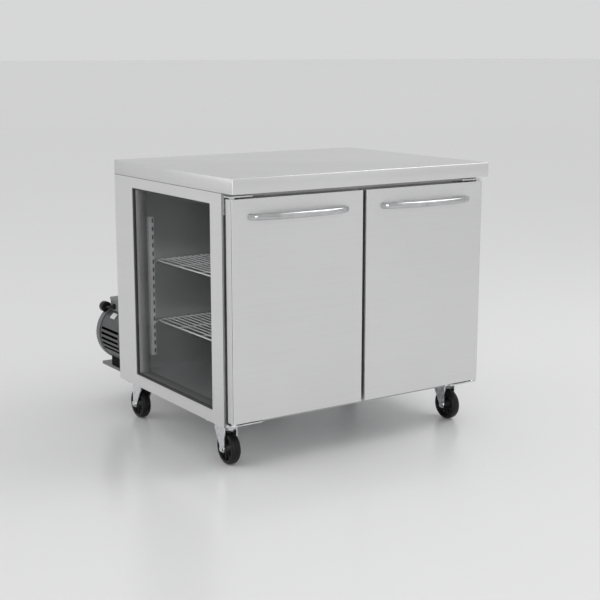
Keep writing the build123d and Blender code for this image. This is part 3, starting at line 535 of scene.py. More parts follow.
# Pilasters. Slotted channels of pressed steel screwed to the walls; the shelf clips
# hook into the slots at any height.
pilaster_steel = polished_sheet("pilaster steel", 0.90, 0.96, 0.40, (4, 4, 120))
shade(pilaster_steel, {"Metallic": 0.2})
PILASTER_SHEET = 0.0012
SLOT_PITCH = 0.028
SLOT_HEIGHT = 0.015
pilaster_low, pilaster_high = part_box("pilasters")
LINK_COUNT = round((pilaster_high.z - pilaster_low.z) / SLOT_PITCH)


def pilaster_link(width, depth, pitch):
    """One pitch of channel, face towards -Y, its open side on y 0, with its slot near the right edge."""
    link = bmesh.new()
    half, face = width / 2, -depth
    columns = (-half, width * 0.12, width * 0.44, half)
    rows = (0.0, pitch * 0.25, pitch * 0.25 + SLOT_HEIGHT, pitch)
    front = [[link.verts.new((x, face, z)) for x in columns] for z in rows]
    rear = [[link.verts.new((x, face + PILASTER_SHEET, z)) for x in columns] for z in rows]
    for j in range(3):
        for i in range(3):
            if (i, j) == (1, 1):
                corners = ((1, 1), (2, 1), (2, 2), (1, 2))
                for k in range(4):
                    (a, b), (c, d) = corners[k], corners[(k + 1) % 4]
                    link.faces.new((front[b][a], front[d][c], rear[d][c], rear[b][a]))
            else:
                for sheet in (front, rear):
                    link.faces.new((sheet[j][i], sheet[j][i + 1], sheet[j + 1][i + 1], sheet[j + 1][i]))
    for side, wall in ((-1, 0), (1, 3)):
        out, inner = side * half, side * (half - PILASTER_SHEET)
        for j in range(3):
            foot = [link.verts.new((x, 0, rows[k])) for x in (out, inner) for k in (j, j + 1)]
            top = [link.verts.new((inner, face + PILASTER_SHEET, rows[k])) for k in (j, j + 1)]
            link.faces.new((front[j][wall], front[j + 1][wall], foot[1], foot[0]))
            link.faces.new((top[0], top[1], foot[3], foot[2]))
            link.faces.new((foot[0], foot[1], foot[3], foot[2]))
    return link


PILASTER_WIDTH, PILASTER_DEPTH = 0.018, 0.008
room_low, room_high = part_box("liner")
wall_sheet = 0.001
inner_left, inner_right = room_low.x + wall_sheet, room_high.x - wall_sheet
rear_wall = room_high.y - wall_sheet
uprights = []
for x in (pilaster_low.x + 0.034 + PILASTER_WIDTH / 2, 0.0, pilaster_high.x - 0.034 - PILASTER_WIDTH / 2):
    uprights.append(((x, rear_wall), (0, 0, 0)))
uprights.append(((0.0, pilaster_low.y), (0, 0, math.radians(180))))
side_upright_y = pilaster_low.y + 0.0365 + PILASTER_WIDTH / 2
uprights.append(((inner_left, side_upright_y), (0, 0, math.radians(90))))
uprights.append(((inner_right, side_upright_y), (0, 0, math.radians(-90))))
links = [
    ((x, y, pilaster_low.z + SLOT_PITCH * i), turn)
    for (x, y), turn in uprights
    for i in range(LINK_COUNT)
]
# Painted shade: a black rubber strip set inside each channel behind the slots stands in for the shade in the
# slot recesses.
slot_shade_mesh = bmesh.new()
SLOT_SHADE_THICKNESS = 0.0012
slot_shade_x = inset((-PILASTER_WIDTH / 2, PILASTER_WIDTH / 2), PILASTER_SHEET)
slot_shade_y = (-PILASTER_DEPTH + 0.0030, -PILASTER_DEPTH + 0.0030 + SLOT_SHADE_THICKNESS)
slot_shade_z = (0.001, SLOT_PITCH * LINK_COUNT - 0.001)
loft(slot_shade_mesh, [ring(slot_shade_x, slot_shade_y, z, 0.0002, 1) for z in slot_shade_z])
slot_shade_places = [((x, y, pilaster_low.z), turn) for (x, y), turn in uprights]
slot_shade = copies("pilaster_backing_tape", slot_shade_mesh, slot_shade_places, seal_rubber)
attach(slot_shade, "cabinet")
channel = pilaster_link(PILASTER_WIDTH, PILASTER_DEPTH, SLOT_PITCH)
pilasters = copies("pilaster_channels", channel, links, pilaster_steel)
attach(pilasters, "cabinet")
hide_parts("pilasters")

# Shelf clips. Bent steel tongues, zinc plated, that hang in the pilaster slots and
# carry the shelf corners.
recoat(screw_zinc, "shelf_clips")

# Shelves. Bright chromed wire: sixteen wires from front to back, with their ends
# turned down, welded on a frame of thicker wire; each lifts out on its own.
chrome_wire = start_finish("chromed wire", 0.3, 0.16)
drift(chrome_wire, 90, 0.90, 0.96)
dull(chrome_wire, mottle(chrome_wire, 60), 0.12, 0.26)


def rod_tree(name, upright):
    """Round or oval bar along the given runs, bent at each corner."""
    inputs = {
        "Runs": ("Geometry", None),
        "Width": ("Float", 0.004),
        "Height": ("Float", 0.004),
        "Bend Radius": ("Float", 0.0),
        "Bend Steps": ("Int", 5),
        "Sides": ("Int", 10),
        "Finish": ("Material", None),
    }
    tree, given = start_tree(name, inputs)
    line = grow(tree, "GeometryNodeMeshToCurve", {"Mesh": given["Runs"]})["Curve"]
    bends = {
        "Curve": line, "Radius": given["Bend Radius"], "Count": given["Bend Steps"], "Limit Radius": True,
    }
    line = grow(tree, "GeometryNodeFilletCurve", bends, mode="POLY")["Curve"]
    held = "Z_UP" if upright else "MINIMUM_TWIST"
    line = grow(tree, "GeometryNodeSetCurveNormal", {"Curve": line}, mode=held)["Curve"]
    circle = {"Resolution": given["Sides"], "Radius": 0.5}
    circle = grow(tree, "GeometryNodeCurvePrimitiveCircle", circle)["Curve"]
    size = {"X": given["Width"], "Y": given["Height"], "Z": 1.0}
    size = grow(tree, "ShaderNodeCombineXYZ", size)["Vector"]
    oval = grow(tree, "GeometryNodeTransform", {"Geometry": circle, "Scale": size})["Geometry"]
    bar = {"Curve": line, "Profile Curve": oval, "Fill Caps": True}
    return end_tree(tree, grow(tree, "GeometryNodeCurveToMesh", bar)["Mesh"], given["Finish"])


ROUND_ROD = rod_tree("rod along runs", upright=False)


def rods(name, paths, finish, width, height=None, bend=0.0, bend_steps=5, sides=10, tree=ROUND_ROD):
    """Bars of one thickness along lists of points."""
    points, edges = [], []
    for path in paths:
        first = len(points)
        points += [tuple(point) for point in path]
        edges += [(first + i, first + i + 1) for i in range(len(path) - 1)]
    data = bpy.data.meshes.new(name + "_runs")
    data.from_pydata(points, edges, [])
    sizes = {
        "Width": width,
        "Height": height or width,
        "Bend Radius": bend,
        "Bend Steps": bend_steps,
        "Sides": sides,
        "Finish": finish,
    }
    return grown_piece(name, bpy.data.objects.new(name + "_runs", data), tree, sizes)


def joined(name, parts):
    """One object from several, each with its own finish kept."""
    mesh = bmesh.new()
    finishes = []
    for part in parts:
        first_face = len(mesh.faces)
        mesh.from_mesh(part.data)
        mesh.faces.ensure_lookup_table()
        for face in mesh.faces[first_face:]:
            finish = part.data.materials[face.material_index]
            if finish not in finishes:
                finishes.append(finish)
            face.material_index = finishes.index(finish)
        bpy.data.objects.remove(part)
    data = bpy.data.meshes.new(name)
    mesh.to_mesh(data)
    mesh.free()
    for finish in finishes:
        data.materials.append(finish)
    data.shade_smooth()
    data.set_sharp_from_angle(angle=math.radians(32))
    made = bpy.data.objects.new(name, data)
    bpy.context.scene.collection.objects.link(made)
    return made


SHELF_FRAME_WIRE = 0.006
SHELF_WIRE = 0.004
SHELF_WIRE_COUNT = 16
CROSS_BARS = 5
for side in ("left", "right"):
    for level in ("lower", "upper"):
        node = f"shelf_{side}_{level}"
        low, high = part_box(node)
        half = SHELF_FRAME_WIRE / 2
        x = (low.x + half, high.x - half)
        y = (low.y + half, high.y - half)
        bar_z = low.z + half
        rim = [(x[0], y[0]), (x[1], y[0]), (x[1], y[1]), (x[0], y[1])]
        middle = ((x[0] + x[1]) / 2, y[0])
        loop = [middle, *rim[1:], rim[0], middle]
        frame_paths = [[(*point, bar_z) for point in loop]]
        for i in range(1, CROSS_BARS - 1):
            bar_y = y[0] + (y[1] - y[0]) * i / (CROSS_BARS - 1)
            frame_paths.append([(x[0], bar_y, bar_z), (x[1], bar_y, bar_z)])
        heavy = rods(node + "_frame", frame_paths, chrome_wire, SHELF_FRAME_WIRE, bend=0.006, sides=12)
        wire_z = high.z - SHELF_WIRE / 2
        ends = (low.y + SHELF_WIRE / 2, high.y - SHELF_WIRE / 2)
        corners = ((ends[0], bar_z), (ends[0], wire_z), (ends[1], wire_z), (ends[1], bar_z))
        fine_paths = []
        for i in range(1, SHELF_WIRE_COUNT + 1):
            wire_x = x[0] + (x[1] - x[0]) * i / (SHELF_WIRE_COUNT + 1)
            fine_paths.append([(wire_x, *corner) for corner in corners])
        fine = rods(
            node + "_wires", fine_paths, chrome_wire, SHELF_WIRE, bend=0.0025, bend_steps=4, sides=8,
        )
        shelf = joined(node + "_wirework", [heavy, fine])
        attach(shelf, node)
        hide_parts(node)

# Doors. A folded stainless skin with radiused upright edges over foam, shut by a
# pressed inner panel that stands proud inside the gasket.
door_steel = polished_sheet("door steel", 0.70, 0.745, 0.38, (3, 3, 280))
inner_steel = polished_sheet("door inner steel", (0.48, 0.48, 0.49), (0.55, 0.55, 0.56), 0.33, (3, 3, 200))
gasket_rubber = moulded_rubber("door gasket rubber", (0.060, 0.060, 0.064), 0.55)
GASKET_WIDTH = 0.014
GASKET_FOLDS = (
    (0.0, 0.0), (0.0006, 0.14), (0.0028, 0.30), (0.0008, 0.46),
    (0.0002, 0.58), (0.0002, 0.92), (0.0009, 1.0),
)
for side in ("left", "right"):
    recoat(door_steel, f"door_{side}_skin")
    low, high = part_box(f"door_{side}_inner")
    panel = bmesh.new()
    across, up = (low.x, high.x), (low.z, high.z)
    pressed = (
        (0.0002, low.y), (0, high.y - 0.0003), (0.0005, high.y), (0.036, high.y),
        (0.0372, high.y + 0.0006), (0.0405, high.y + 0.0038), (0.042, high.y + 0.0044),
    )
    pressed_rings = []
    for i, y in pressed:
        pressed_rings.append(ring(inset(across, i), inset(up, i), y, max(0.0015, i * 0.35), 4))
    loft(panel, pressed_rings, "y")
    inner = piece(f"door_{side}_inner_panel", panel, inner_steel)
    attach(inner, f"door_{side}")
    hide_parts(f"door_{side}_inner")

    low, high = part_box(f"door_{side}_gasket")
    bellows = bmesh.new()
    across, up, deep = (low.x, high.x), (low.z, high.z), high.y - low.y
    profile = [(i, low.y + share * deep) for i, share in GASKET_FOLDS]
    profile += [(GASKET_WIDTH - i, y) for i, y in reversed(profile)]
    loft(bellows, stack(profile, across, up, 0.003), "y", closed=True)
    gasket = piece(f"door_{side}_gasket_bellows", bellows, gasket_rubber, fold=40)
    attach(gasket, f"door_{side}")
    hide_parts(f"door_{side}_gasket")

# Handles. Bowed oval tube of polished stainless, with a pad welded at each end.
polished = start_finish("polished handle steel", 1.0, 0.08)
draw_lines = mottle(polished, (6, 500, 500), 2.0)
drift(polished, 25, (0.46, 0.465, 0.47), (0.58, 0.58, 0.59), 4.0)
dull(polished, draw_lines, 0.04, 0.10)
relief(polished, draw_lines, 0.08, 0.0001)
OVAL_ROD = rod_tree("oval rod along runs", upright=True)
TUBE_TALL, TUBE_DEEP = 0.019, 0.012
for side in ("left", "right"):
    node = f"door_{side}_handle"
    low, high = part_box(node)
    middle = (low.x + high.x) / 2
    half = (high.x - low.x) / 2 - 0.006
    centre_z = (low.z + high.z) / 2
    door_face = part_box(f"door_{side}_skin")[0].y
    front = low.y + TUBE_DEEP / 2 + 0.0004
    bow = []
    for i in range(41):
        share = -1 + i / 20
        reach = max(0.0, 1 - abs(share) ** 2.6) ** 0.62
        bow_y = door_face + (front - door_face) * reach - 0.001 * (1 - reach)
        bow.append((middle + share * half, bow_y, centre_z))
    tube = rods(node + "_tube", [bow], polished, TUBE_DEEP, TUBE_TALL, sides=24, tree=OVAL_ROD)
    parts = [tube]
    for end in (-1, 1):
        pad = bmesh.new()
        pad_centre = (middle + end * (half - 0.004), centre_z)
        levels = ((0.0098, 0.0), (0.0098, 0.0012), (0.0090, 0.0026), (0.0070, 0.0042), (0.0052, 0.0058))
        loft(pad, [disc(r, door_face - d, 20, pad_centre) for r, d in levels], "y")
        parts.append(piece(f"{node}_pad", pad, polished))
    handle = joined(node + "_bow", parts)
    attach(handle, f"door_{side}")
    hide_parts(node)

# Hinge brackets. Bright plated steel plates bent down and screwed to the front frame
# at each outer corner; the door turns on the pins that they carry.
bright_plate = start_finish("bright plated bracket", 1.0, 0.2)
drift(bright_plate, 45, (0.58, 0.585, 0.59), (0.76, 0.765, 0.77), 4.0)
dull(bright_plate, mottle(bright_plate, 80), 0.14, 0.28)
recoat(bright_plate, "hinge_brackets")
bracket_low, bracket_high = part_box("hinge_brackets")
bracket_screws = []
for edge, inward in ((bracket_low.x, 1), (bracket_high.x, -1)):
    for along in (0.030, 0.072, 0.100):
        place = (edge + inward * along, bracket_high.y - 0.003, bracket_low.z + 0.0045)
        bracket_screws.append((place, TO_FRONT))
screws("hinge_bracket_screws", 0.0026, 0.0014, bracket_screws)

# Evaporator. An aluminium cover hung from the ceiling over a finned coil; a small
# fan in its base draws the air up and blows it out through the front louvres.
aluminium = polished_sheet("aluminium cover", (0.56, 0.57, 0.58), (0.66, 0.67, 0.68), 0.34, (200, 3, 3))
fin_aluminium = start_finish("fin aluminium", 1.0, 0.4)
drift(fin_aluminium, 120, (0.50, 0.51, 0.52), (0.70, 0.71, 0.72))
relief(fin_aluminium, mottle(fin_aluminium, 300), 0.2, 0.0002)
recoat(aluminium, "evaporator_cover")
recoat(fin_aluminium, "evaporator_coil")


def sprayed_paint(name, dark, light, roughness, texture=140.0, depth=0.0003):
    """Sprayed enamel over metal, with orange peel and slight unevenness."""
    finish = start_finish(name, 0.0, roughness)
    drift(finish, 22, dark, light, 5.0)
    peel = mottle(finish, texture, 3.0, 4.4)
    dull(finish, peel, roughness - 0.07, roughness + 0.07)
    relief(finish, peel, 0.3, depth)
    return finish


motor_enamel = sprayed_paint("fan motor enamel", (0.018, 0.018, 0.019), (0.030, 0.030, 0.032), 0.5)
fan_black = sprayed_paint(
    "moulded fan plastic", (0.028, 0.028, 0.030), (0.050, 0.050, 0.052), 0.38, 300.0, 0.0001,
)
recoat(motor_enamel, "evaporator_motor", "condenser_motor")


def fan_blade(root, tip, chord, pitch, camber, thick):
    """Curved blade along +X that turns about Z, wider and flatter towards its tip."""
    blade = bmesh.new()
    sections = []
    stations, across = 7, 6
    for s in range(stations):
        share = s / (stations - 1)
        radius = root + (tip - root) * share
        wide = chord * (0.72 + 0.28 * math.sin(math.pi * min(1.0, share * 0.75 + 0.1)))
        lean = pitch * (1 - 0.30 * share)
        upper, lower = [], []
        for a in range(across + 1):
            run = a / across - 0.5
            lift = camber * (1 - (2 * run) ** 2)
            skin = thick / 2 * math.sqrt(max(0.02, 1 - (2 * run) ** 2))
            y, z = run * wide, lift
            for row, offset in ((upper, skin), (lower, -skin)):
                leant_y = y * math.cos(lean) - (z + offset) * math.sin(lean)
                leant_z = y * math.sin(lean) + (z + offset) * math.cos(lean)
                row.append((radius * math.cos(0.05 * share), leant_y, leant_z))
        sections.append(upper + lower[::-1])
    loft(blade, sections)
    return blade


def fan(body, centre, root, tip, chord, hub_profile, axis):
    """Five moulded blades on a hub, joined into one wheel."""
    spin = Matrix.Rotation(math.radians(90), 3, "X") if axis == "y" else Matrix.Identity(3)
    places = []
    for i in range(5):
        turned = Matrix.Rotation(math.tau * i / 5, 3, "Z")
        places.append((centre, tuple((spin @ turned).to_euler())))
    blade = fan_blade(root, tip, chord, math.radians(28), chord * 0.10, 0.0022)
    blades = copies(body + "_blades", blade, places, fan_black)
    hub = bmesh.new()
    flat_centre = (centre.x, centre.y) if axis == "z" else (centre.x, centre.z)
    level = centre.z if axis == "z" else centre.y
    loft(hub, [disc(r, level + z, 28, flat_centre) for r, z in hub_profile], axis, closed=True)
    wheel = joined(body + "_wheel", [blades, piece(body + "_hub", hub, fan_black)])
    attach(wheel, body)
    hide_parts(body)


def joint_place(name):
    return next(joint for joint in frame["joints"] if joint["name"] == name)["pos_m"]


low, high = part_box("evaporator_fan")
spin_x, spin_y, spin_z = joint_place("evaporator_fan_spin")
centre = Vector((spin_x, spin_y, (low.z + high.z) / 2))
EVAPORATOR_HUB = (
    (0.0031, -0.011), (0.012, -0.011), (0.0148, -0.009),
    (0.015, 0.010), (0.0135, 0.0118), (0.0031, 0.0118),
)
fan("evaporator_fan", centre, 0.013, 0.0715, 0.036, EVAPORATOR_HUB, "z")

# Rear tray. Folded steel shelf bolted to the back of the cabinet, painted grey; it
# carries the compressor, the condenser and the pan for melt water.
tray_grey = sprayed_paint("tray paint", (0.135, 0.135, 0.139), (0.18, 0.18, 0.184), 0.42)
recoat(tray_grey, "rear_tray")
TRAY_MARGIN = 0.03
tray_screws = []
for i in range(7):
    x = tray_low.x + TRAY_MARGIN + (tray_high.x - tray_low.x - 2 * TRAY_MARGIN) * i / 6
    tray_screws.append(((x, tray_low.y + 0.0025, tray_high.z - 0.012), TO_BACK))
screws("rear_tray_bolts", 0.0055, 0.0035, tray_screws)

# Condensate pan and drain. A shallow moulded pan that the warm condenser air dries,
# fed by a plastic tube from the evaporator.
tub_plastic = sprayed_paint(
    "moulded black plastic", (0.005, 0.005, 0.0055), (0.011, 0.011, 0.012), 0.34, 260.0, 0.0001,
)
shade(tub_plastic, {"Specular IOR Level": 0.22})
recoat(tub_plastic, "condensate_pan", "drain_tube")

# Compressor. A cast barrel in dark grey enamel with cooling slots along its lower
# sides, a cylinder head on the right, and a bolted flange at its rear.
cast_enamel = sprayed_paint(
    "compressor enamel", (0.050, 0.051, 0.053), (0.080, 0.082, 0.085), 0.42, 90.0, 0.0005,
)
cowl_enamel = sprayed_paint(
    "cowl enamel", (0.115, 0.117, 0.121), (0.165, 0.168, 0.172), 0.40, 120.0, 0.0004,
)
slot_black = sprayed_paint("slot shadow paint", 0.002, 0.004, 0.9)
shade(slot_black, {"Specular IOR Level": 0.0})
recoat(motor_enamel, "compressor_core")
body_low, body_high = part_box("compressor_body")
barrel_radius = (body_high.z - body_low.z) / 2
barrel = Vector((body_low.x + barrel_radius, 0, (body_low.z + body_high.z) / 2))
barrel_centre = (barrel.x, barrel.z)
cowl_low, cowl_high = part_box("compressor_cowl")
SLOT_ANGLES = [turn for lean in (14, 4, -6, -16, -26) for turn in (180 - lean, lean % 360)]
SLOT_HALF = 2.5
SLOT_DEPTH = 0.009
SLOT_WALL = 0.05
barrel_outline = []
for degree in range(0, 360, 4):
    if all(min((degree - slot) % 360, (slot - degree) % 360) > SLOT_HALF + 0.5 for slot in SLOT_ANGLES):
        barrel_outline.append((float(degree), False))
for slot in SLOT_ANGLES:
    barrel_outline += [((slot + edge) % 360, False) for edge in (-SLOT_HALF, SLOT_HALF)]
    sunk_edges = (-SLOT_HALF + SLOT_WALL, SLOT_HALF - SLOT_WALL)
    barrel_outline += [((slot + edge) % 360, True) for edge in sunk_edges]
barrel_outline.sort()


def barrel_ring(y, radius, slotted):
    points = []
    for degree, sunk in barrel_outline:
        r = radius - (SLOT_DEPTH if slotted and sunk else 0)
        points.append((*around(barrel_centre, r, math.radians(degree)), y))
    return points


cast = bmesh.new()
barrel_front, barrel_rear = body_low.y, body_high.y
barrel_steps = (
    (barrel_front, 0.006, False), (barrel_front + 0.002, 0.002, False),
    (barrel_front + 0.006, 0, False), (barrel_front + 0.0108, 0, False),
    (barrel_front + 0.0110, 0, True), (barrel_rear - 0.0122, 0, True),
    (barrel_rear - 0.0120, 0, False), (barrel_rear - 0.0062, 0, False),
    (barrel_rear - 0.0060, 0.0050, False), (barrel_rear, 0.0050, False),
)
loft(cast, [barrel_ring(y, barrel_radius - cut, slotted) for y, cut, slotted in barrel_steps], "y")
head_y = (body_low.y + 0.016, body_low.y + 0.096)
head_z = (body_low.z + 0.063, body_low.z + 0.159)
head_face = body_high.x - 0.0145
head_steps = ((0, barrel.x + 0.080), (0, head_face - 0.003), (0.001, head_face - 0.001), (0.004, head_face))
loft(cast, stack(head_steps, head_y, head_z, 0.008, 4), "x")
port_y = (head_y[0] + head_y[1]) / 2
loft(cast, [disc(0.010, x, 24, (port_y, barrel.z + 0.007)) for x in (head_face - 0.003, body_high.x)], "x")
stub_z = (head_z[1] - 0.004, body_low.z + 0.183)
loft(cast, [disc(0.010, z, 24, (barrel.x + 0.114, port_y)) for z in stub_z])
compressor = piece("compressor_casting", cast, cast_enamel)
compressor.data.materials.append(slot_black)
for face in compressor.data.polygons:
    out = barrel_radius - math.hypot(face.center.x - barrel.x, face.center.z - barrel.z)
    along = barrel_front + 0.0109 < face.center.y < barrel_rear - 0.0001
    if along and 0.001 < out < SLOT_DEPTH + 0.001 and face.center.x < head_face - 0.03:
        face.material_index = 1
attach(compressor, "cabinet")
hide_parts("compressor_body")
stud_places = []
for y in (port_y - 0.030, port_y + 0.030):
    for z in (barrel.z + 0.007 - 0.038, barrel.z + 0.007 + 0.038):
        stud_places.append(((head_face - 0.0003, y, z), TO_RIGHT))
screws("cylinder_head_bolts", 0.0055, 0.0050, stud_places)

# Nameplate. A blank aluminium plate, glued on the smooth upper side of the barrel.
plate_white = start_finish("blank nameplate", 0.0, 0.35)
drift(plate_white, 60, (0.66, 0.66, 0.65), (0.78, 0.78, 0.77))
plate = bmesh.new()
PLATE_SPAN = (math.radians(131), math.radians(143))
plate_y = (body_low.y + 0.078, body_low.y + 0.112)
arcs = []
for step in range(7):
    angle = PLATE_SPAN[0] + (PLATE_SPAN[1] - PLATE_SPAN[0]) * step / 6
    arc = []
    for rise, y in ((0.0001, plate_y[0]), (0.0009, plate_y[0]), (0.0009, plate_y[1]), (0.0001, plate_y[1])):
        x, z = around(barrel_centre, barrel_radius + rise, angle)
        arc.append((x, y, z))
    arcs.append(arc)
loft(plate, arcs)
nameplate = piece("compressor_nameplate", plate, plate_white)
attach(nameplate, "cabinet")

# End cowl. A domed cast cover bolted to the rear of the barrel, lighter than it.
cowl = bmesh.new()
rim_radius = (cowl_high.x - cowl_low.x) / 2
cowl_centre = ((cowl_low.x + cowl_high.x) / 2, (cowl_low.z + cowl_high.z) / 2)
cowl_profile = [
    (rim_radius - 0.0100, cowl_low.y), (rim_radius - 0.0012, cowl_low.y),
    (rim_radius, cowl_low.y + 0.0015), (rim_radius, cowl_low.y + 0.0250),
    (rim_radius - 0.0015, cowl_low.y + 0.0280), (rim_radius - 0.0050, cowl_low.y + 0.0310),
    (rim_radius - 0.0100, cowl_low.y + 0.0345), (rim_radius - 0.0170, cowl_low.y + 0.0385),
    (rim_radius - 0.0240, cowl_low.y + 0.0415), (rim_radius - 0.0320, cowl_high.y),
    (rim_radius - 0.0560, cowl_high.y), (rim_radius - 0.0580, cowl_high.y - 0.0040),
    (0.012, cowl_high.y - 0.0040), (0.012, cowl_high.y - 0.0260),
    (rim_radius - 0.0100, cowl_high.y - 0.0300),
]
loft(cowl, [disc(r, y, 64, cowl_centre) for r, y in cowl_profile], "y", closed=True)
end_cowl = piece("compressor_end_cowl", cowl, cowl_enamel)
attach(end_cowl, "cabinet")
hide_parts("compressor_cowl")
cowl_bolts = []
for i in range(8):
    x, z = around(cowl_centre, rim_radius - 0.0440, math.tau * (i + 0.5) / 8)
    cowl_bolts.append(((x, cowl_high.y - 0.0004, z), TO_BACK))
screws("compressor_cowl_bolts", 0.0045, 0.0004, cowl_bolts)

# Terminal box and start capacitor. A folded box with a flat screwed lid on top of
# the barrel, and a round capacitor can beside the cowl, wired through a black elbow.
box_grey = sprayed_paint("terminal box paint", (0.15, 0.152, 0.156), (0.20, 0.203, 0.208), 0.4, 160.0)
low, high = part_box("terminal_box")
lid = bmesh.new()
box_x, box_y = (low.x, high.x), (low.y, high.y)
LID = 0.010
levels = (
    (0.0015, low.z), (0.0015, high.z - LID - 0.0006), (0.0024, high.z - LID - 0.0004),
    (0.0024, high.z - LID), (0.0000, high.z - LID), (0.0000, high.z - 0.0025),
    (0.0008, high.z - 0.0008), (0.0026, high.z),
)
loft(lid, stack(levels, box_x, box_y, 0.003))
terminal_box = piece("terminal_box_and_lid", lid, box_grey)
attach(terminal_box, "cabinet")
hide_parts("terminal_box")
lid_screws = []
for x in inset(box_x, 0.008):
    for y in inset(box_y, 0.008):
        lid_screws.append(((x, y, high.z - 0.0001), UPWARD))
screws("terminal_box_screws", 0.003, 0.0016, lid_screws)

low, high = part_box("start_capacitor")
can = bmesh.new()
can_radius = (high.x - low.x) / 2
can_centre = ((low.x + high.x) / 2, (high.z - can_radius))
can_levels = (
    (0.88, 0.0), (0.98, 0.03), (1.0, 0.08), (1.0, 0.90), (0.97, 0.96), (0.90, 0.985), (0.86, 0.93),
    (0.2, 0.93),
)
loft(can, [disc(can_radius * r, low.y + (high.y - low.y) * s, 32, can_centre) for r, s in can_levels], "y")
capacitor = piece("start_capacitor_can", can, tub_plastic)
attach(capacitor, "cabinet")
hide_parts("start_capacitor")
box_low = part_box("terminal_box")[0]
elbow_y, elbow_z = box_low.y + 0.040, box_low.z + 0.016
gland = bmesh.new()
gland_steps = ((0.0100, -0.0002), (0.0100, 0.0045), (0.0085, 0.0055), (0.0080, 0.0095), (0.0045, 0.0105))
loft(gland, [disc(r, box_low.x - out, 16, (elbow_y, elbow_z)) for r, out in gland_steps], "x")
elbow_run = [
    (can_centre[0], low.y + 0.002, can_centre[1]),
    (can_centre[0] - 0.005, low.y - 0.016, can_centre[1] + 0.003),
    (can_centre[0] - 0.004, elbow_y + 0.001, elbow_z), (box_low.x - 0.004, elbow_y, elbow_z),
]
elbow = joined(
    "capacitor_elbow",
    [
        piece("elbow_gland", gland, tub_plastic),
        rods("elbow_bend", [elbow_run], tub_plastic, 0.009, bend=0.008, sides=14),
    ],
)
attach(elbow, "cabinet")

# Compressor feet. Moulded rubber mounts under the barrel, bolted to the tray.
foot_rubber = moulded_rubber("mounting foot rubber", (0.008, 0.008, 0.009), 0.62)
shade(foot_rubber, {"Specular IOR Level": 0.05})
recoat(foot_rubber, "compressor_feet")

# Condenser. Thin aluminium fins pressed on a copper serpentine, a sheet shroud
# behind them, and a fan with its motor and wire guard in the shroud's hole.
low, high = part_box("condenser_coil")
shroud_low, shroud_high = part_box("condenser_shroud")
fin = bmesh.new()
fin_half_y, fin_half_z = (high.y - low.y) / 2, (high.z - low.z) / 2
fin_y, fin_z = (-fin_half_y, fin_half_y), (-fin_half_z, fin_half_z)
FIN_SHEET = 0.0005
loft(fin, [ring(fin_y, fin_z, n, 0.0015, 1) for n in (-FIN_SHEET / 2, FIN_SHEET / 2)], "x")
FIN_COUNT = 90
fin_places = []
for i in range(FIN_COUNT):
    x = shroud_low.x + 0.002 + (shroud_high.x - shroud_low.x - 0.004) * i / (FIN_COUNT - 1)
    fin_places.append(((x, (low.y + high.y) / 2, (low.z + high.z) / 2), UPWARD))
fins = copies("condenser_fins", fin, fin_places, fin_aluminium)
copper = start_finish("refrigeration copper", 1.0, 0.3)
bloom = mottle(copper, 26, 5.0)
shade(copper, {"Base Color": tones(copper, bloom, (0.42, 0.20, 0.12), (0.76, 0.42, 0.28))})
dull(copper, bloom, 0.42, 0.24)
TUBE_PITCH = 0.030
TUBE_ROWS = 7
top_row = high.z - 0.025
rows = [top_row - TUBE_PITCH * i for i in range(TUBE_ROWS)]
near, far = low.y + 0.015, low.y + 0.045
bends_x = (low.x + 0.005, high.x - 0.005)
passes = [(near, z) for z in rows] + [(far, z) for z in reversed(rows[1:])]
serpentine = []
for i, (y, z) in enumerate(passes):
    ends = bends_x if i % 2 == 0 else bends_x[::-1]
    serpentine += [(ends[0], y, z), (ends[1], y, z)]
tubes = rods("condenser_tubes", [serpentine], copper, 0.0095, bend=0.012, bend_steps=6, sides=12)
coil = joined("condenser_coil_block", [fins, tubes])
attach(coil, "cabinet")
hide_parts("condenser_coil")

low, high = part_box("condenser_fan")
spin_x, spin_y, spin_z = joint_place("condenser_fan_spin")
centre = Vector((spin_x, (low.y + high.y) / 2, spin_z))
CONDENSER_HUB = (
    (0.0041, -0.012), (0.020, -0.012), (0.0235, -0.009),
    (0.024, 0.009), (0.022, 0.0118), (0.0041, 0.0118),
)
fan("condenser_fan", centre, 0.022, 0.0975, 0.044, CONDENSER_HUB, "y")

guard_black = sprayed_paint(
    "coated guard wire", (0.020, 0.020, 0.021), (0.036, 0.036, 0.037), 0.35, 400.0, 0.0001,
)
guard_low, guard_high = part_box("condenser_guard")
guard_centre = ((guard_low.x + guard_high.x) / 2, (guard_low.z + guard_high.z) / 2)
guard_y = guard_low.y + 0.006
guard_paths = []
for ring_radius in (0.052, 0.066, 0.080, 0.095, 0.110):
    circle = disc(ring_radius, guard_y, 48, guard_centre)
    guard_paths.append([(x, y, z) for x, z, y in [*circle, circle[0]]])
rings = rods("guard_rings", guard_paths, guard_black, 0.0032, sides=8)
spokes = []
for i in range(6):
    ends = []
    for r in (0.0425, 0.110):
        x, z = around(guard_centre, r, math.radians(60 * i + 30))
        ends.append((x, guard_y + 0.0032, z))
    if i % 2 == 0:
        ends.append((x, shroud_high.y, z))
    spokes.append(ends)
ribs = rods("guard_spokes", spokes, guard_black, 0.0040, bend=0.004, bend_steps=4, sides=8)
guard = joined("condenser_guard_wires", [rings, ribs])
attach(guard, "cabinet")
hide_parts("condenser_guard")

# Refrigerant pipes and filter drier. Drawn copper, bent cold and brazed; the drier
# is a spun copper shell in the liquid line.
recoat(copper, "refrigerant_pipes", "filter_drier")

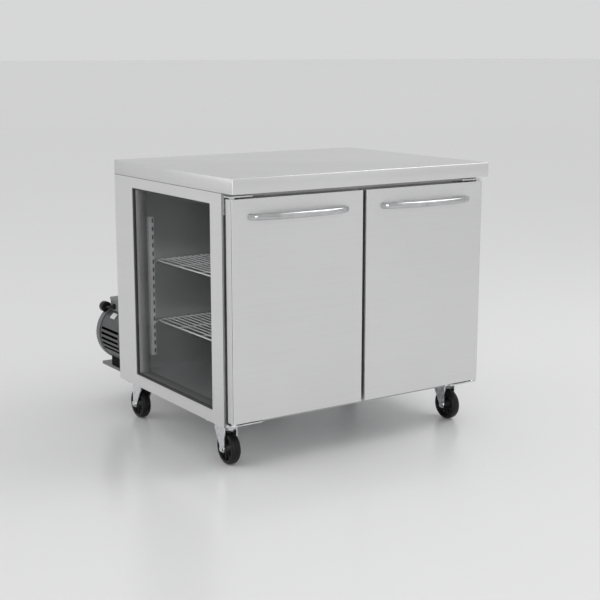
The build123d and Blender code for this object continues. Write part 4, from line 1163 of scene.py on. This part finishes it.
# Control box. A small painted steel box on the back with a thermostat knob, a
# rocker switch, lid screws, and a cable gland with no cable in it.
recoat(box_grey, "control_box")
low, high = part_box("control_box")
box_bottom = high.z - 0.100
control_screws = []
for x in inset((low.x, high.x), 0.010):
    for z in inset((box_bottom, high.z), 0.010):
        control_screws.append(((x, high.y - 0.0001, z), TO_BACK))
screws("control_box_screws", 0.003, 0.0016, control_screws)
dial_low, dial_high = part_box("thermostat_knob")
dial = joint_place("thermostat_turn")[::2]
ticks = []
for i in range(11):
    angle = math.radians(90 - 27 * i)
    x, z = around(dial, 0.0245, angle)
    ticks.append(((x, high.y + 0.0001, z), (0, -angle, 0)))
tick = bmesh.new()
loft(tick, [ring((-0.0022, 0.0022), (-0.0004, 0.0004), n, 0.0002, 1) for n in (-0.0001, 0.0002)], "y")
dial_marks = copies("dial_marks", tick, ticks, plate_white)
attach(dial_marks, "cabinet")

knob = bmesh.new()
knob_radius = (dial_high.x - dial_low.x) / 2
FLUTE_DEPTH = 0.035
KNOB_STEPS = ((0.0, 0.97), (0.06, 1.0), (0.22, 1.0), (0.30, 0.90), (0.86, 0.84), (0.96, 0.80), (1.0, 0.74))
grip = []
for share, size in KNOB_STEPS:
    circle = []
    for i, (u, v, n) in enumerate(disc(1.0, high.y + 0.0004 + share * 0.0176, 60)):
        reach = knob_radius * size * (1 - FLUTE_DEPTH * (i % 3 == 0) * (0.25 < share < 0.99))
        circle.append((dial[0] + reach * u, dial[1] + reach * v, n))
    grip.append(circle)
loft(knob, grip, "y")
knob_body = piece("thermostat_knob_grip", knob, tub_plastic)
pointer = bmesh.new()
line_x, line_z = (dial[0] - 0.0012, dial[0] + 0.0012), (dial[1] + 0.002, dial[1] + 0.0135)
loft(pointer, [ring(line_x, line_z, high.y + n, 0.0006, 2) for n in (0.0176, 0.0186)], "y")
pointer_line = piece("thermostat_knob_pointer", pointer, plate_white)
shank = bmesh.new()
loft(shank, [disc(0.003, y, 16, dial) for y in (high.y - 0.009, high.y + 0.001)], "y")
knob_shank = piece("thermostat_shank", shank, screw_zinc)
thermostat = joined("thermostat_knob_dial", [knob_body, pointer_line, knob_shank])
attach(thermostat, "thermostat_knob")
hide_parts("thermostat_knob")
recoat(tub_plastic, "power_switch")

# Casters. Zinc plated pressed forks on ball swivels under bolted plates; the wheels
# are hard black rubber on ribbed moulded hubs.
caster_zinc = start_finish("caster zinc", 1.0, 0.26)
drift(caster_zinc, 70, (0.66, 0.67, 0.68), (0.82, 0.83, 0.84), 5.0)
dull(caster_zinc, mottle(caster_zinc, 50, 4.0), 0.18, 0.36)
tyre_rubber = moulded_rubber("wheel tyre rubber", (0.007, 0.007, 0.007), 0.38)
shade(tyre_rubber, {"Specular IOR Level": 0.25})
hub_plastic = sprayed_paint("wheel hub plastic", 0.007, 0.012, 0.4, 220.0, 0.0001)
recoat(caster_zinc, "caster_plates", "caster_bolts")
TYRE_HALF = 0.016
HUB_HALF = (
    (0.0366, 0.0058), (0.0340, 0.0050), (0.0200, 0.0050), (0.0180, 0.0080),
    (0.0150, 0.0188), (0.0120, 0.0190), (0.0061, 0.0190),
)
for corner in ("front_left", "front_right", "rear_left", "rear_right"):
    recoat(caster_zinc, "caster_fork_" + corner)
    node = "caster_wheel_" + corner
    low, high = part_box(node)
    wheel_radius = (high.z - low.z) / 2
    axle = ((low.y + high.y) / 2, (low.z + high.z) / 2)
    middle = (low.x + high.x) / 2
    tyre_half = [
        (0.0385, TYRE_HALF - 0.0020), (0.0400, TYRE_HALF - 0.0004), (0.0425, TYRE_HALF),
        (0.0455, TYRE_HALF - 0.0008), (0.0482, TYRE_HALF - 0.0030), (0.0500, TYRE_HALF - 0.0058),
        (0.0508, TYRE_HALF - 0.0088), (wheel_radius, 0.0030),
    ]
    tyre_profile = [(r, -n) for r, n in tyre_half] + [(r, n) for r, n in reversed(tyre_half)]
    tyre_profile += [(0.0365, 0.0060), (0.0365, -0.0060)]
    tyre = bmesh.new()
    loft(tyre, [disc(r, middle + n, 48, axle) for r, n in tyre_profile], "x", closed=True)
    hub_profile = [(r, -n) for r, n in HUB_HALF] + [(r, n) for r, n in reversed(HUB_HALF)]
    hub = bmesh.new()
    loft(hub, [disc(r, middle + n, 40, axle) for r, n in hub_profile], "x", closed=True)
    rib = bmesh.new()
    loft(rib, [ring((-0.0010, 0.0010), (0.0165, 0.0375), n, 0.0003, 1) for n in (-0.0105, 0.0105)], "x")
    rib_places = [((middle, *axle), (math.tau * i / 10, 0, 0)) for i in range(10)]
    ribs = copies(node + "_ribs", rib, rib_places, hub_plastic)
    hub = piece(node + "_hub", hub, hub_plastic)
    wheel = joined(node + "_tyred", [piece(node + "_tyre", tyre, tyre_rubber), hub, ribs])
    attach(wheel, node)
    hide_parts(node)
